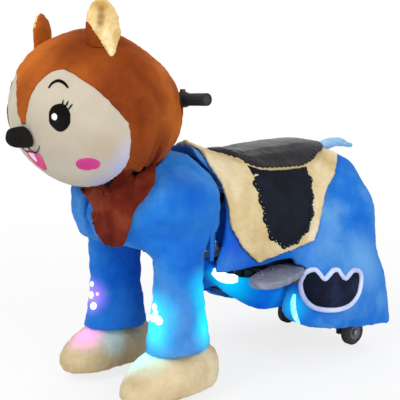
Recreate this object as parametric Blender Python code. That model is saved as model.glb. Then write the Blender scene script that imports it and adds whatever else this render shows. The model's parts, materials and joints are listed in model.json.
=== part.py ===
"""A battery ride-on animal: a plush body over a steel chassis, with a steered front half."""

import math

import bmesh
import bpy
from mathutils import Matrix, Vector

MM = 0.001

# Clearances and shared working sizes
GAP = 0.3 * MM
OVERRUN = 5 * MM
SEAM = 1 * MM
FINE_SIDES = 20
COARSE_SIDES = 12
SMOOTH_ANGLE = math.radians(40)
SMALL_BEVEL = 1.5 * MM

# Overall layout, seen from the front axle
TAIL_REACH = 818 * MM
WHEELBASE = 685 * MM
HALF_TRACK = 137 * MM
STEER_TURN = math.radians(4)
HEAD_TURN = math.radians(6)

# Wheels
FRONT_WHEEL_RADIUS = 50 * MM
FRONT_WHEEL_WIDTH = 30 * MM
REAR_WHEEL_RADIUS = 40 * MM
REAR_WHEEL_WIDTH = 28 * MM
TYRE_ROUND = 6 * MM
HUB_RADIUS = 22 * MM
HUB_STEP = 3 * MM
BOLT_RADIUS = 5 * MM
BOLT_HEAD_RADIUS = 8 * MM
BOLT_HEAD_LENGTH = 5 * MM
AXLE_RADIUS = 8 * MM
RUNNING_GAP = 0.4 * MM

# Chassis
PLATE_THICKNESS = 6 * MM
PLATE_Z = 178 * MM
PLATE_HALF_WIDTH = 112 * MM
PLATE_FRONT = 336 * MM
PLATE_REAR = 706 * MM
SPINE_RADIUS = 16 * MM
SPINE_Z = 468 * MM
SPINE_BEND_START = 235 * MM
SPINE_FOOT_Y = 352 * MM
SPINE_BEND_RADIUS = 90 * MM
HEAD_TUBE_RADIUS = 25 * MM
HEAD_TUBE_BOTTOM = 450 * MM
HEAD_TUBE_TOP = 530 * MM
COLUMN_RADIUS = 14 * MM
POST_HALF_SIDE = 14 * MM
POST_FRONT_Y = 404 * MM
POST_REAR_Y = 628 * MM
BOARD_Z = 474 * MM
BOARD_THICKNESS = 12 * MM
BOARD_HALF_WIDTH = 96 * MM
BOARD_FRONT = 384 * MM
BOARD_REAR = 660 * MM

# Battery, controller and drive
BATTERY_LENGTH = 151 * MM
BATTERY_WIDTH = 65 * MM
BATTERY_HEIGHT = 98 * MM
BATTERY_INSIDE_X = 22 * MM
BATTERY_FRONT_Y = 402 * MM
CONTROLLER_LENGTH = 86 * MM
CONTROLLER_WIDTH = 60 * MM
CONTROLLER_HEIGHT = 28 * MM
CONTROLLER_X = 34 * MM
CONTROLLER_Y = 566 * MM
MOTOR_RADIUS = 30 * MM
MOTOR_LENGTH = 90 * MM
MOTOR_AHEAD = 92 * MM
MOTOR_SHAFT_RADIUS = 5 * MM
MOTOR_SHAFT_REACH = 26 * MM
PULLEY_SIDES = 16
BELT_STEPS = 8
BELT_X = -34 * MM
BELT_WIDTH = 12 * MM
BELT_THICKNESS = 2.5 * MM
FLANGE_HEIGHT = 3 * MM
FLANGE_WIDTH = 1.5 * MM
MOTOR_PULLEY_RADIUS = 12 * MM
AXLE_PULLEY_RADIUS = 24 * MM
BRACKET_TO_WHEEL = 17 * MM
BRACKET_THICKNESS = 14 * MM
BRACKET_HALF_LENGTH = 20 * MM
BRACKET_BELOW_AXLE = 14 * MM
SOCKET_RADIUS = 12 * MM
SOCKET_LENGTH = 16 * MM
SOCKET_BORE_RADIUS = 5 * MM
SOCKET_BORE_DEPTH = 11 * MM
SOCKET_X = 70 * MM

# Footrests
FOOTREST_Z = 268 * MM
FOOTREST_THICKNESS = 17 * MM
FOOTREST_LENGTH = 250 * MM
FOOTREST_WIDTH = 100 * MM
FOOTREST_X = 190 * MM
FOOTREST_Y = 322 * MM
FOOTREST_TOE_OUT = math.radians(23)
FOOTREST_SQUARENESS = 0.8
FOOTREST_BAR_RADIUS = 9 * MM
FOOTREST_BAR_REACH = 205 * MM

# Body cover
BODY_HALF_WIDTH = 171 * MM
BODY_RIDGE_Z = 622 * MM
BODY_HEM_Z = 306 * MM
COVER_THICKNESS = 24 * MM
SHAPE_LENGTH = 708 * MM
COVER_REAR_Y = 728 * MM
CLEAR_RADIUS = 235 * MM
CLEAR_TOP_Z = 600 * MM
FOAM_FRONT_Y = 244 * MM
FOAM_START_Y = 300 * MM
FOAM_REAR_Y = 670 * MM
RUMP_THICKNESS = 32 * MM
RUMP_HALF_WIDTH = 234 * MM
RUMP_HEM_Z = 76 * MM

# Haunches, belly and tail
HAUNCH_TOP_Z = 458 * MM
HAUNCH_INSIDE_X = 160 * MM
HAUNCH_BULGE = 64 * MM
HAUNCH_FRONT_Y = 362 * MM
HAUNCH_LEAN = 62 * MM
HAUNCH_HEM_FRONT_Z = 168 * MM
HAUNCH_HEM_REAR_Z = 76 * MM
HAUNCH_HEM_POWER = 0.4
PATCH_THICKNESS = 4 * MM
PATCH_FRONT_Y = 372 * MM
PATCH_REAR_Y = 612 * MM
PATCH_TOP_Z = 276 * MM
PATCH_BOTTOM_Z = 160 * MM
BELLY_HALF_WIDTH = 152 * MM
BELLY_FRONT_Y = 238 * MM
BELLY_REAR_Y = 440 * MM
BELLY_TOP_Z = 266 * MM
BELLY_BOTTOM_Z = 164 * MM
BELLY_PROW_Z = 218 * MM
BELLY_INSET = 28 * MM
BELLY_THICKNESS = 10 * MM
TAIL_ROOT_Y = 676 * MM
TAIL_ROOT_Z = 592 * MM
TAIL_ROOT_RADIUS = 17 * MM
TAIL_TIP_RADIUS = 6 * MM
TAIL_RISE = 12 * MM

# Saddle
BLANKET_THICKNESS = 8 * MM
BLANKET_EDGE_MARGIN = 5 * MM
BLANKET_STEPS = 8
BLANKET_TIP_Z = 317 * MM
BLANKET_REAR_Z = 350 * MM
SEAT_THICKNESS = 12 * MM
SEAT_HALF_WIDTH = 106 * MM
SEAT_FRONT_Y = 232 * MM
SEAT_STEPS = 10
SEAT_HALF_STEPS = 5
SEAT_ROUNDING = 0.75
SEAT_REAR_Y = 656 * MM
FLAP_THICKNESS = 4 * MM
FLAP_SEAT_GAP = 4 * MM
FLAP_BOTTOM_Z = 352 * MM
FLAP_STEPS = 6
FLAP_FRONT_Y = 287 * MM
FLAP_REAR_Y = 500 * MM

# Chest, legs and paws, in the frame of the steered front half
CHEST_HALF_WIDTH = 198 * MM
CHEST_TURN_GAP = 5 * MM
CHEST_HALF_FRONT = 168 * MM
CHEST_BACK = 20 * MM
CHEST_ROUND_SHARE = 0.2
CHEST_SPLIT_Z = 508 * MM
CHEST_TOP_Z = 600 * MM
CROTCH_Z = 415 * MM
CROTCH_FADE = 62 * MM
LEG_X = 134 * MM
LEG_Y = 28 * MM
LEG_HALF_WIDTH = 63 * MM
LEG_HALF_LENGTH = 76 * MM
HEM_HALF_WIDTH = 75 * MM
HEM_HALF_LENGTH = 92 * MM
LEG_HEM_Z = 128 * MM
LEG_WAIST_Z = 250 * MM
LEG_HOLLOW_SHARE = 0.24
LEG_HEM_SHARE = 0.7
PAW_HALF_WIDTH = 80 * MM
PAW_HALF_LENGTH = 146 * MM
PAW_BACK = 4 * MM
PAW_BOTTOM_Z = 27 * MM
SPINE_SWEEP = math.radians(42)
SPINE_CLEARANCE = 8 * MM

# Steering and fork
BEAM_HEIGHT = 24 * MM
BEAM_HALF_DEPTH = 14 * MM
BEAM_TOP_Z = 448 * MM
FORK_HALF_SIDE = 12 * MM
YOKE_WALL = 4 * MM
YOKE_TOP_Z = 112 * MM
YOKE_HALF_LENGTH = 18 * MM
YOKE_BELOW_AXLE = 14 * MM
WHEEL_WELL_MARGIN = 6 * MM
BAR_RADIUS = 11 * MM
BAR_Y = 70 * MM
BAR_Z = 735 * MM
BAR_HALF_LENGTH = 200 * MM
BAR_HOLE_RADIUS = 42 * MM
GRIP_RADIUS = 15 * MM
GRIP_LENGTH = 79 * MM
HOUSING_RADIUS = 19 * MM
HOUSING_LENGTH = 22 * MM
STEM_TOP_Z = 712 * MM
LEVER_LENGTH = 30 * MM
LEVER_WIDTH = 12 * MM
LEVER_THICKNESS = 5 * MM
LEVER_HUB_RADIUS = 4.2 * MM
BUTTON_RADIUS = 7 * MM
BUTTON_HEIGHT = 9 * MM
BUTTON_TRAVEL = 3 * MM

# Head
HEAD_AHEAD = 112 * MM
HEAD_Z = 710 * MM
HEAD_HALF_WIDTH = 198 * MM
HEAD_HALF_FRONT = 203 * MM
HEAD_HALF_REAR = 258 * MM
HEAD_HALF_HEIGHT = 187 * MM
SKIN_THICKNESS = 7 * MM
CORE_GAP = 9 * MM
HEAD_NARROWING_SHARE = 0.35
HEAD_CROWN_ROUNDING = 1.1
HEAD_NAPE_ROUNDING = 0.35
STEM_SLOT_HALF_WIDTH = 20 * MM
CORE_ROWS = 11
GUIDE_ROWS = 22
GUIDE_SIDES = 48
FACE_STEPS = 12
HOOD_STEPS = 20
EAR_SIDES = 16
EAR_HOLLOW_SHARE = 0.5
EAR_HOLLOW_RISE = 1.1
NOSE_TAPER = 0.8
NOSE_Z = 654 * MM
NOSE_OUT = 242 * MM
NOSE_BASE_RADIUS = 25 * MM
NOSE_TIP_RADIUS = 10 * MM
NOSE_BURIED = 24 * MM
EAR_X = 116 * MM
EAR_AHEAD = 64 * MM
EAR_BASE_Z = 828 * MM
EAR_HEIGHT = 126 * MM
EAR_HALF_WIDTH = 41 * MM
EAR_HALF_THICKNESS = 15 * MM
EAR_BURIED = 24 * MM
EAR_LEAN_SHARE = -0.05
EAR_TURN = math.radians(66)
CAPE_THICKNESS = 9 * MM
CAPE_FOLD = 3.6 * MM
CAPE_FOLDS = 9
CAPE_STEPS = 24
CAPE_ROWS = 5
CAPE_FAR_TURN = 112
CAPE_NEAR_TURN = 78
CAPE_SLIM_START = 80
CAPE_SLIM_SPAN = 30
CAPE_SLIM_SHARE = 0.26
CAPE_EDGE = 4 * MM
CAPE_TOP_Z = 614 * MM

# Outlines, as shares of the sizes that they follow
FLANK_SHARES = (
    (0.0, 0.0), (0.18, 0.004), (0.35, 0.025), (0.48, 0.075), (0.58, 0.15), (0.67, 0.235),
    (0.76, 0.34), (0.87, 0.53), (0.945, 0.72), (0.99, 0.93), (1.0, 1.0),
)
SHOULDER_SHARES = (
    (0.18, 1.0), (0.3, 0.975), (0.45, 0.965), (0.77, 0.965), (0.924, 0.945), (0.969, 0.935), (1.03, 0.9),
)
SHOULDER_WIDE_SHARE = 0.62
FOAM_ROW_SHARES = (0.0, 0.162, 0.351, 0.541, 0.73, 0.892, 1.0)
RIDGE_SHARES = (
    (0.18, 1.008), (0.24, 0.995), (0.316, 0.95), (0.425, 0.923), (0.558, 0.949), (0.688, 0.961),
    (0.77, 0.965), (0.924, 0.945), (0.969, 0.935), (1.03, 0.9),
)
WIDTH_SHARES = ((0.19, 0.98), (0.35, 1.0), (0.9, 1.0), (0.97, 0.985), (1.03, 0.95))
RUMP_SHARES = (
    (0.0, 1.0), (0.12, 0.985), (0.25, 0.94), (0.36, 0.87), (0.48, 0.75), (0.6, 0.62), (0.7, 0.51),
    (0.79, 0.42), (0.88, 0.31), (0.95, 0.16), (1.0, 0.0),
)
RUMP_DOME_SHARES = ((0.0, 1.0), (0.5, 0.985), (0.85, 0.93), (1.0, 0.78))
HAUNCH_FLARE_SHARES = (
    (0.0, 0.0), (0.2, 0.08), (0.38, 0.34), (0.55, 0.72), (0.72, 0.95), (0.9, 1.0), (1.0, 0.88),
)
HAUNCH_ROW_SHARES = (0.0, 0.05, 0.12, 0.22, 0.36, 0.52, 0.68, 0.84, 1.0)
HAUNCH_DROP_SHARES = (0.0, 0.1, 0.2, 0.3, 0.42, 0.55, 0.7, 0.85, 0.95, 1.0)
HAUNCH_BULGE_SHARES = ((0.0, 0.1), (0.06, 0.5), (0.14, 0.82), (0.26, 1.0), (0.7, 1.0), (1.0, 0.93))
CHEST_ROW_SHARES = (0.0, 0.2, 0.4, 0.6, 0.75, 0.88, 1.0)
LEG_ROW_SHARES = (0.0, 0.3, 0.6, 1.0)
CROTCH_ROW_SHARES = (-0.3, 0.0, 0.25, 0.5, 0.75, 1.0)
LOW_CHEST_ROW_SHARES = (0.25, 0.5, 1.0)
LOW_CHEST_SHARES = ((0.0, 0.9), (0.25, 0.955), (0.5, 0.995), (0.7, 1.0), (1.0, 0.97))
CHEST_SHARES = ((0.0, 0.97), (0.15, 0.95), (0.4, 0.84), (0.64, 0.72), (0.85, 0.6), (1.0, 0.52))
FOOTREST_EDGE_SHARES = ((0.0, 0.96), (0.2, 1.0), (0.8, 1.0), (1.0, 0.97))
PAW_SHARES = (
    (0.0, 0.93), (0.12, 0.99), (0.3, 1.0), (0.55, 0.95), (0.78, 0.83), (0.92, 0.68), (1.0, 0.56),
)
CLEAR_SHARES = (
    (0.0, 0.9), (0.14, 0.9), (0.32, 1.0), (0.61, 1.0), (0.69, 0.98), (0.8, 0.89), (1.0, 0.64),
)
FACE_ROW_SHARES = (0.5, 0.46, 0.4, 0.27, 0.1, -0.1, -0.3, -0.5, -0.68, -0.82, -0.91)
HOOD_ROW_SHARES = (
    0.985, 0.92, 0.8, 0.65, 0.56, 0.52, 0.48, 0.4, 0.27, 0.1, -0.1, -0.3, -0.5, -0.66, -0.77,
)
FACE_EDGE_SHARES = (
    (0.52, 0.12), (0.48, 0.32), (0.4, 0.45), (0.27, 0.57), (0.05, 0.7), (-0.19, 0.81),
    (-0.39, 0.84), (-0.64, 0.87), (-0.81, 0.83), (-0.93, 0.7),
)
CAPE_HEM_SHARES = (
    (-112, 0.88), (-60, 0.8), (-20, 0.65), (2, 0.51), (14, 0.19), (22, 0.02), (32, 0.07), (38, 0.22),
    (44, 0.4), (50, 0.52), (57, 0.63), (64, 0.74), (72, 0.9), (78, 0.93),
)
CAPE_TIP_Z = 396 * MM
EAR_SHARES = ((0.0, 0.62), (0.2, 0.84), (0.45, 1.0), (0.7, 0.9), (0.88, 0.6), (1.0, 0.2))
BLANKET_DROP_SHARES = (0.0, 0.07, 0.18, 0.32, 0.48, 0.66, 0.84, 1.0)
BLANKET_FRONT_SHARES = ((0.0, 0.02), (0.3, 0.06), (0.55, 0.16), (0.78, 0.42), (1.0, 1.0))
BLANKET_REAR_SHARES = (
    (0.0, 1.0), (0.05, 1.0), (0.15, 0.86), (0.36, 0.6), (0.5, 0.35), (0.68, 0.22), (0.94, 0.08), (1.0, 0.0),
)
BLANKET_FRONT_Y = 158 * MM
BLANKET_TIP_Y = 268 * MM
BLANKET_FLAP_REAR_Y = 472 * MM
BLANKET_TOP_REAR_Y = 668 * MM
SEAT_OUTLINE_SHARES = (
    (0.0, 0.05), (0.024, 0.27), (0.06, 0.62), (0.12, 0.85), (0.22, 0.98), (0.46, 1.0), (0.67, 0.98),
    (0.81, 0.76), (0.93, 0.52), (1.0, 0.12),
)
FLAP_OUTLINE_SHARES = (
    (0.0, 0.0, 1.0), (0.2, 0.03, 0.955), (0.45, 0.065, 0.905), (0.65, 0.075, 0.86), (0.79, 0.1, 0.775),
    (0.88, 0.15, 0.68), (0.95, 0.24, 0.57), (1.0, 0.33, 0.44),
)
PATCH_OUTLINE_SHARES = (
    (0.0, 0.3, 0.66), (0.12, 0.12, 0.85), (0.26, 0.06, 0.98), (0.42, 0.1, 0.86), (0.58, 0.1, 0.99),
    (0.72, 0.1, 0.86), (0.86, 0.12, 0.96), (0.95, 0.22, 0.85), (1.0, 0.36, 0.68),
)

WELD_DEPTH = 5 * MM
HEAD_SIDE_TURN = STEER_TURN + HEAD_TURN
NOSE_REACH = (HEAD_AHEAD * math.cos(STEER_TURN) + NOSE_OUT * math.cos(HEAD_SIDE_TURN)
              + NOSE_TIP_RADIUS / 2 * math.sin(HEAD_SIDE_TURN))
FRONT_AXLE_Y = (NOSE_REACH - TAIL_REACH) / 2
REAR_AXLE_Y = FRONT_AXLE_Y + WHEELBASE


def behind(distance):
    """The Y of a place this far behind the front axle."""
    return FRONT_AXLE_Y + distance


def clear_scene():
    for item in list(bpy.data.objects):
        bpy.data.objects.remove(item, do_unlink=True)


def finish(name, color, roughness, metallic=0.0):
    made = bpy.data.materials.new(name)
    made.use_nodes = True
    shader = made.node_tree.nodes["Principled BSDF"]
    shader.inputs["Base Color"].default_value = (*color, 1)
    shader.inputs["Roughness"].default_value = roughness
    shader.inputs["Metallic"].default_value = metallic
    return made


def along(shares, where):
    """The value of a table of shares at one place, straight between its points."""
    if where <= shares[0][0]:
        return shares[0][1]
    for (start, low), (end, high) in zip(shares, shares[1:]):
        if where <= end:
            return low + (high - low) * (where - start) / (end - start)
    return shares[-1][1]


def falling(shares, where):
    """The value of a table whose places run downwards."""
    return along([(-place, value) for place, value in shares], -where)


def mix(a, b, share):
    return a + (b - a) * share


def add_mesh(name, points, faces, look, parent=None):
    mesh = bpy.data.meshes.new(name)
    shape = bmesh.new()
    corners = [shape.verts.new(point) for point in points]
    for face in faces:
        shape.faces.new([corners[index] for index in face])
    bmesh.ops.recalc_face_normals(shape, faces=shape.faces)
    shape.to_mesh(mesh)
    shape.free()
    mesh.materials.append(look)
    mesh.shade_smooth()
    mesh.set_sharp_from_angle(angle=SMOOTH_ANGLE)
    made = bpy.data.objects.new(name, mesh)
    bpy.context.collection.objects.link(made)
    if parent:
        made.parent = parent
    return made


def set_pivot(item, pivot):
    """Moves the origin of an object to a pivot, without moving its surface."""
    item.data.transform(Matrix.Translation(-Vector(pivot)))
    item.location = Vector(pivot)


def loft(name, rings, look, parent=None):
    """A closed solid through rings of equal count, with a middle point on each end."""
    count = len(rings[0])
    points = [Vector(point) for ring in rings for point in ring]
    faces = []
    for row in range(len(rings) - 1):
        for column in range(count):
            after = (column + 1) % count
            faces.append((row * count + column, row * count + after,
                          (row + 1) * count + after, (row + 1) * count + column))
    for ring_start, ring in ((0, rings[0]), ((len(rings) - 1) * count, rings[-1])):
        middle = sum((Vector(point) for point in ring), Vector()) / count
        points.append(middle)
        for column in range(count):
            faces.append((ring_start + column, ring_start + (column + 1) % count, len(points) - 1))
    return add_mesh(name, points, faces, look, parent)


def sheet(name, outer, inner, look, parent=None, mirror_at=0):
    """A closed solid between two grids, such as a panel of cloth; its quads turn their split at a column."""
    rows = len(outer)
    columns = len(outer[0])
    points = [Vector(point) for grid in (outer, inner) for row in grid for point in row]

    def at(side, row, column):
        return (side * rows + row) * columns + column

    faces = []
    for row in range(rows - 1):
        for column in range(columns - 1):
            for side in (0, 1):
                near, beside = at(side, row, column), at(side, row, column + 1)
                below, across = at(side, row + 1, column), at(side, row + 1, column + 1)
                if column < mirror_at:
                    faces += [(near, beside, below), (beside, across, below)]
                else:
                    faces += [(near, beside, across), (near, across, below)]
    for row in range(rows - 1):
        for column in (0, columns - 1):
            faces.append((at(0, row, column), at(0, row + 1, column),
                          at(1, row + 1, column), at(1, row, column)))
    for column in range(columns - 1):
        for row in (0, rows - 1):
            faces.append((at(0, row, column), at(0, row, column + 1),
                          at(1, row, column + 1), at(1, row, column)))
    return add_mesh(name, points, faces, look, parent)


def frame_along(direction):
    """Two directions square to the one given, and to each other."""
    forward = Vector(direction).normalized()
    helper = Vector((0, 0, 1)) if abs(forward.z) < abs(forward.x) + abs(forward.y) else Vector((1, 0, 0))
    side = forward.cross(helper).normalized()
    return forward, side, forward.cross(side)


def circle(middle, direction, radius, sides):
    _, side, up = frame_along(direction)
    return [
        Vector(middle) + radius * (math.cos(turn) * side + math.sin(turn) * up)
        for turn in (math.tau * step / sides for step in range(sides))
    ]


def turned(name, outline, start, direction, look, parent=None, sides=FINE_SIDES):
    """A solid turned from an outline of (radius, place along the axis), open if no radius is zero."""
    forward, _, _ = frame_along(direction)
    rings = [circle(Vector(start) + forward * place, direction, radius, sides)
             for radius, place in outline if radius > 0]
    if outline[0][0] == 0:
        return loft(name, rings, look, parent)
    points = [point for ring in rings for point in ring]
    faces = []
    for row in range(len(rings)):
        below = (row + 1) % len(rings)
        for column in range(sides):
            after = (column + 1) % sides
            upper, lower = row * sides, below * sides
            faces.append((upper + column, upper + after, lower + after, lower + column))
    return add_mesh(name, points, faces, look, parent)


def rod(name, start, end, radius, look, parent=None, sides=COARSE_SIDES):
    direction = Vector(end) - Vector(start)
    ends = [circle(place, direction, radius, sides) for place in (start, end)]
    return loft(name, ends, look, parent)


def tube_wall(outer, inner, length):
    return ((outer, 0), (outer, length), (inner, length), (inner, 0))


def swept(name, path, radii, look, parent=None, sides=COARSE_SIDES):
    rings = []
    for index, point in enumerate(path):
        before = path[max(index - 1, 0)]
        after = path[min(index + 1, len(path) - 1)]
        rings.append(circle(point, Vector(after) - Vector(before), radii[index], sides))
    return loft(name, rings, look, parent)


def block(name, low, high, look, parent=None, bevel=0.0):
    corners = [(x, y, z) for z in (low[2], high[2]) for x, y in (
        (low[0], low[1]), (high[0], low[1]), (high[0], high[1]), (low[0], high[1]))]
    faces = ((0, 1, 2, 3), (4, 5, 6, 7), (0, 1, 5, 4), (1, 2, 6, 5), (2, 3, 7, 6), (3, 0, 4, 7))
    made = add_mesh(name, corners, faces, look, parent)
    if bevel:
        rounding = made.modifiers.new("rounding", "BEVEL")
        rounding.width = bevel
        rounding.segments = 1
    return made


def combine(target, tool, operation):
    tool.hide_render = True
    tool.display_type = "WIRE"
    change = target.modifiers.new(tool.name, "BOOLEAN")
    change.operation = operation
    change.object = tool


def cut(target, tool):
    combine(target, tool, "DIFFERENCE")


def mirrored(point, side):
    return (point[0] * side, point[1], point[2])


SIDES = (("left", 1), ("right", -1))


# The body cover is a surface over the length of the body and the drop from its ridge
def ridge_z(place):
    return BODY_RIDGE_Z * along(RIDGE_SHARES, place / SHAPE_LENGTH)


def outline_at(place):
    """One side of the body at a place: points (x, z) from ridge to hem; the saddle dips the ridge."""
    half = BODY_HALF_WIDTH * along(WIDTH_SHARES, place / SHAPE_LENGTH)
    shoulder = BODY_RIDGE_Z * along(SHOULDER_SHARES, place / SHAPE_LENGTH)
    points = []
    for wide, drop in FLANK_SHARES:
        top = mix(ridge_z(place), shoulder, min(wide / SHOULDER_WIDE_SHARE, 1) ** 2)
        points.append((half * wide, top - (top - BODY_HEM_Z) * drop))
    return points


def flank(place, drop_share, outward=0.0):
    """A point (x, z) of the body's side, place behind the front axle and drop_share from ridge to hem."""
    outline = outline_at(place)
    reach = drop_share * (len(outline) - 1)
    index = min(int(reach), len(outline) - 2)
    share = reach - index
    x = mix(outline[index][0], outline[index + 1][0], share)
    z = mix(outline[index][1], outline[index + 1][1], share)
    before = outline[max(index - (share < 0.5), 0)]
    after = outline[min(index + 1 + (share >= 0.5), len(outline) - 1)]
    if drop_share == 0:
        normal = Vector((0, 1))
    else:
        normal = Vector((before[1] - after[1], after[0] - before[0])).normalized()
    return x + normal.x * outward, z + normal.y * outward


def flank_share_at(place, height):
    """The drop_share at which the side of the body reaches a height."""
    outline = outline_at(place)
    for index in range(len(outline) - 1):
        high, low = outline[index][1], outline[index + 1][1]
        if height >= low:
            share = (high - height) / (high - low) if high > low else 0
            return (index + min(max(share, 0), 1)) / (len(outline) - 1)
    return 1.0


def seat_share(place, reach):
    """The drop_share at which the side of the body is this far from its middle."""
    outline = outline_at(place)
    for index in range(len(outline) - 1):
        low, high = outline[index][0], outline[index + 1][0]
        if reach <= high:
            return (index + (reach - low) / (high - low)) / (len(outline) - 1)
    return 1.0


def clear_radius(z):
    """How far the body stays from the steering axis at a height, so that the front half can turn."""
    return CLEAR_RADIUS * along(CLEAR_SHARES, (z - BODY_HEM_Z) / (CLEAR_TOP_Z - BODY_HEM_Z))


def clear_y(x, z):
    return math.sqrt(max(clear_radius(z) ** 2 - x ** 2, 0))


FOAM_PLACES = [mix(FOAM_START_Y, FOAM_REAR_Y, share) for share in FOAM_ROW_SHARES]
BODY_PLACES = [FOAM_FRONT_Y] + FOAM_PLACES + [COVER_REAR_Y]
FRONT_ROW_SHARES = (0.0, 0.35, 0.7)
FLANK_STEPS = len(FLANK_SHARES) - 1


def body_rows(outward):
    """One side of the body's surface, row by row; the first rows follow the circle round the steering axis."""
    grid = []
    for share in FRONT_ROW_SHARES:
        row = []
        for step in range(FLANK_STEPS + 1):
            x, z = flank(FOAM_FRONT_Y, step / FLANK_STEPS, outward)
            place = mix(clear_y(x, z), FOAM_FRONT_Y, share)
            x, z = flank(place, step / FLANK_STEPS, outward)
            place = mix(clear_y(x, z), FOAM_FRONT_Y, share)
            row.append((x, behind(place), z))
        grid.append(row)
    for place in BODY_PLACES:
        row = []
        for step in range(FLANK_STEPS + 1):
            x, z = flank(place, step / FLANK_STEPS, outward)
            row.append((x, behind(place), z))
        grid.append(row)
    return grid


def body_shell(name, side, margin, looks):
    """One half of the body's cover, or the same grown outwards as a tool for what lies against it."""
    edge = GAP / 2 if margin == 0 else -SEAM
    grids = []
    for offset in (margin, -COVER_THICKNESS - margin):
        grid = []
        for row in body_rows(offset):
            hem_x, hem_y, hem_z = row[-1]
            grid.append([mirrored((max(x, edge) if x > 0 else edge, y, z), side)
                         for x, y, z in row[:-1] + [(hem_x, hem_y, hem_z - margin)]])
        grids.append(grid)
    return sheet(name, grids[0], grids[1], looks["blue_plush"])


def make_body(looks):
    for word, side in SIDES:
        body_shell(f"body_cover_{word}", side, 0.0, looks)
    make_foam(looks)
    make_rump(looks)


def make_foam(looks):
    floor = BOARD_Z + BOARD_THICKNESS + GAP
    depth = -COVER_THICKNESS - GAP
    rows = []
    for place in FOAM_PLACES:
        rows.append([flank(place, step / FLANK_STEPS, depth) for step in range(FLANK_STEPS + 1)])
    count = min(sum(z > floor + SEAM for _, z in row) for row in rows)
    outer = []
    for place, row in zip(FOAM_PLACES, rows):
        half = [(x, behind(place), z) for x, z in row[:count]]
        outer.append([mirrored(point, -1) for point in reversed(half[1:])] + half)
    inner = [[(x, y, floor) for x, y, _ in row] for row in outer]
    sheet("seat_foam", outer, inner, looks["foam"], mirror_at=count - 1)


def make_rump(looks):
    height = ridge_z(COVER_REAR_Y) - RUMP_HEM_Z
    middle_z = RUMP_HEM_Z + height / 2
    rings = []
    for forward, size in RUMP_DOME_SHARES:
        ring = []
        place = behind(COVER_REAR_Y + GAP + RUMP_THICKNESS * forward)
        half = [(RUMP_HALF_WIDTH * wide, RUMP_HEM_Z + height * up) for wide, up in RUMP_SHARES]
        for x, z in half + [(-x, z) for x, z in reversed(half[1:])]:
            ring.append((x * size, place, middle_z + (z - middle_z) * size))
        rings.append(ring)
    loft("rump_cover", rings, looks["blue_plush"])


def haunch_hem(share):
    return mix(HAUNCH_HEM_FRONT_Z, HAUNCH_HEM_REAR_Z, share ** HAUNCH_HEM_POWER)


def haunch_point(share, drop, outward=0.0):
    """A point of a haunch's outside: share runs from front to rear, drop from its top to its hem."""
    hem = haunch_hem(share)
    z = mix(HAUNCH_TOP_Z, hem, drop)
    lean = (z - HAUNCH_HEM_FRONT_Z) / (HAUNCH_TOP_Z - HAUNCH_HEM_FRONT_Z)
    front = HAUNCH_FRONT_Y + HAUNCH_LEAN * max(lean, 0) * 1.5
    place = mix(front, COVER_REAR_Y, share)
    base, _ = flank(place, flank_share_at(place, max(z, BODY_HEM_Z)))
    bulge = HAUNCH_BULGE * along(HAUNCH_BULGE_SHARES, share) * along(HAUNCH_FLARE_SHARES, drop)
    return base + 2 * SEAM + bulge + outward, place, z


def haunch_shell(name, side, margin, looks):
    outer = []
    inner = []
    for share in HAUNCH_ROW_SHARES:
        points = [haunch_point(share, drop, margin) for drop in HAUNCH_DROP_SHARES]
        outer.append([mirrored((x, behind(place), z), side) for x, place, z in points])
        inner.append([mirrored((min(HAUNCH_INSIDE_X, x - COVER_THICKNESS / 2), behind(place), z), side)
                      for x, place, z in points])
    return sheet(name, outer, inner, looks["blue_plush"])


def make_haunches(looks, guides):
    for word, side in SIDES:
        haunch = haunch_shell(f"haunch_{word}", side, 0.0, looks)
        for tool in guides[word]:
            cut(haunch, tool)
        patch = make_patch(word, side, looks)
        cut(patch, haunch_shell(f"haunch_guide_{word}", side, GAP, looks))


def make_patch(word, side, looks):
    """The dark pad with its scalloped top, sewn on the outside of the haunch."""
    outer = []
    inner = []
    length = COVER_REAR_Y - HAUNCH_FRONT_Y
    for across, low, high in PATCH_OUTLINE_SHARES:
        rows = ([], [])
        for step in range(5):
            up = mix(low, high, step / 4)
            height = mix(PATCH_BOTTOM_Z, PATCH_TOP_Z, up)
            share = (mix(PATCH_FRONT_Y, PATCH_REAR_Y, across) - HAUNCH_FRONT_Y) / length
            drop = (HAUNCH_TOP_Z - height) / (HAUNCH_TOP_Z - haunch_hem(share))
            for row, outward in zip(rows, (PATCH_THICKNESS, -PATCH_THICKNESS)):
                x, place, z = haunch_point(share, drop, outward)
                row.append(mirrored((x, behind(place), z), side))
        outer.append(rows[0])
        inner.append(rows[1])
    return sheet(f"haunch_patch_{word}", outer, inner, looks["dark_patch"])


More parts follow.
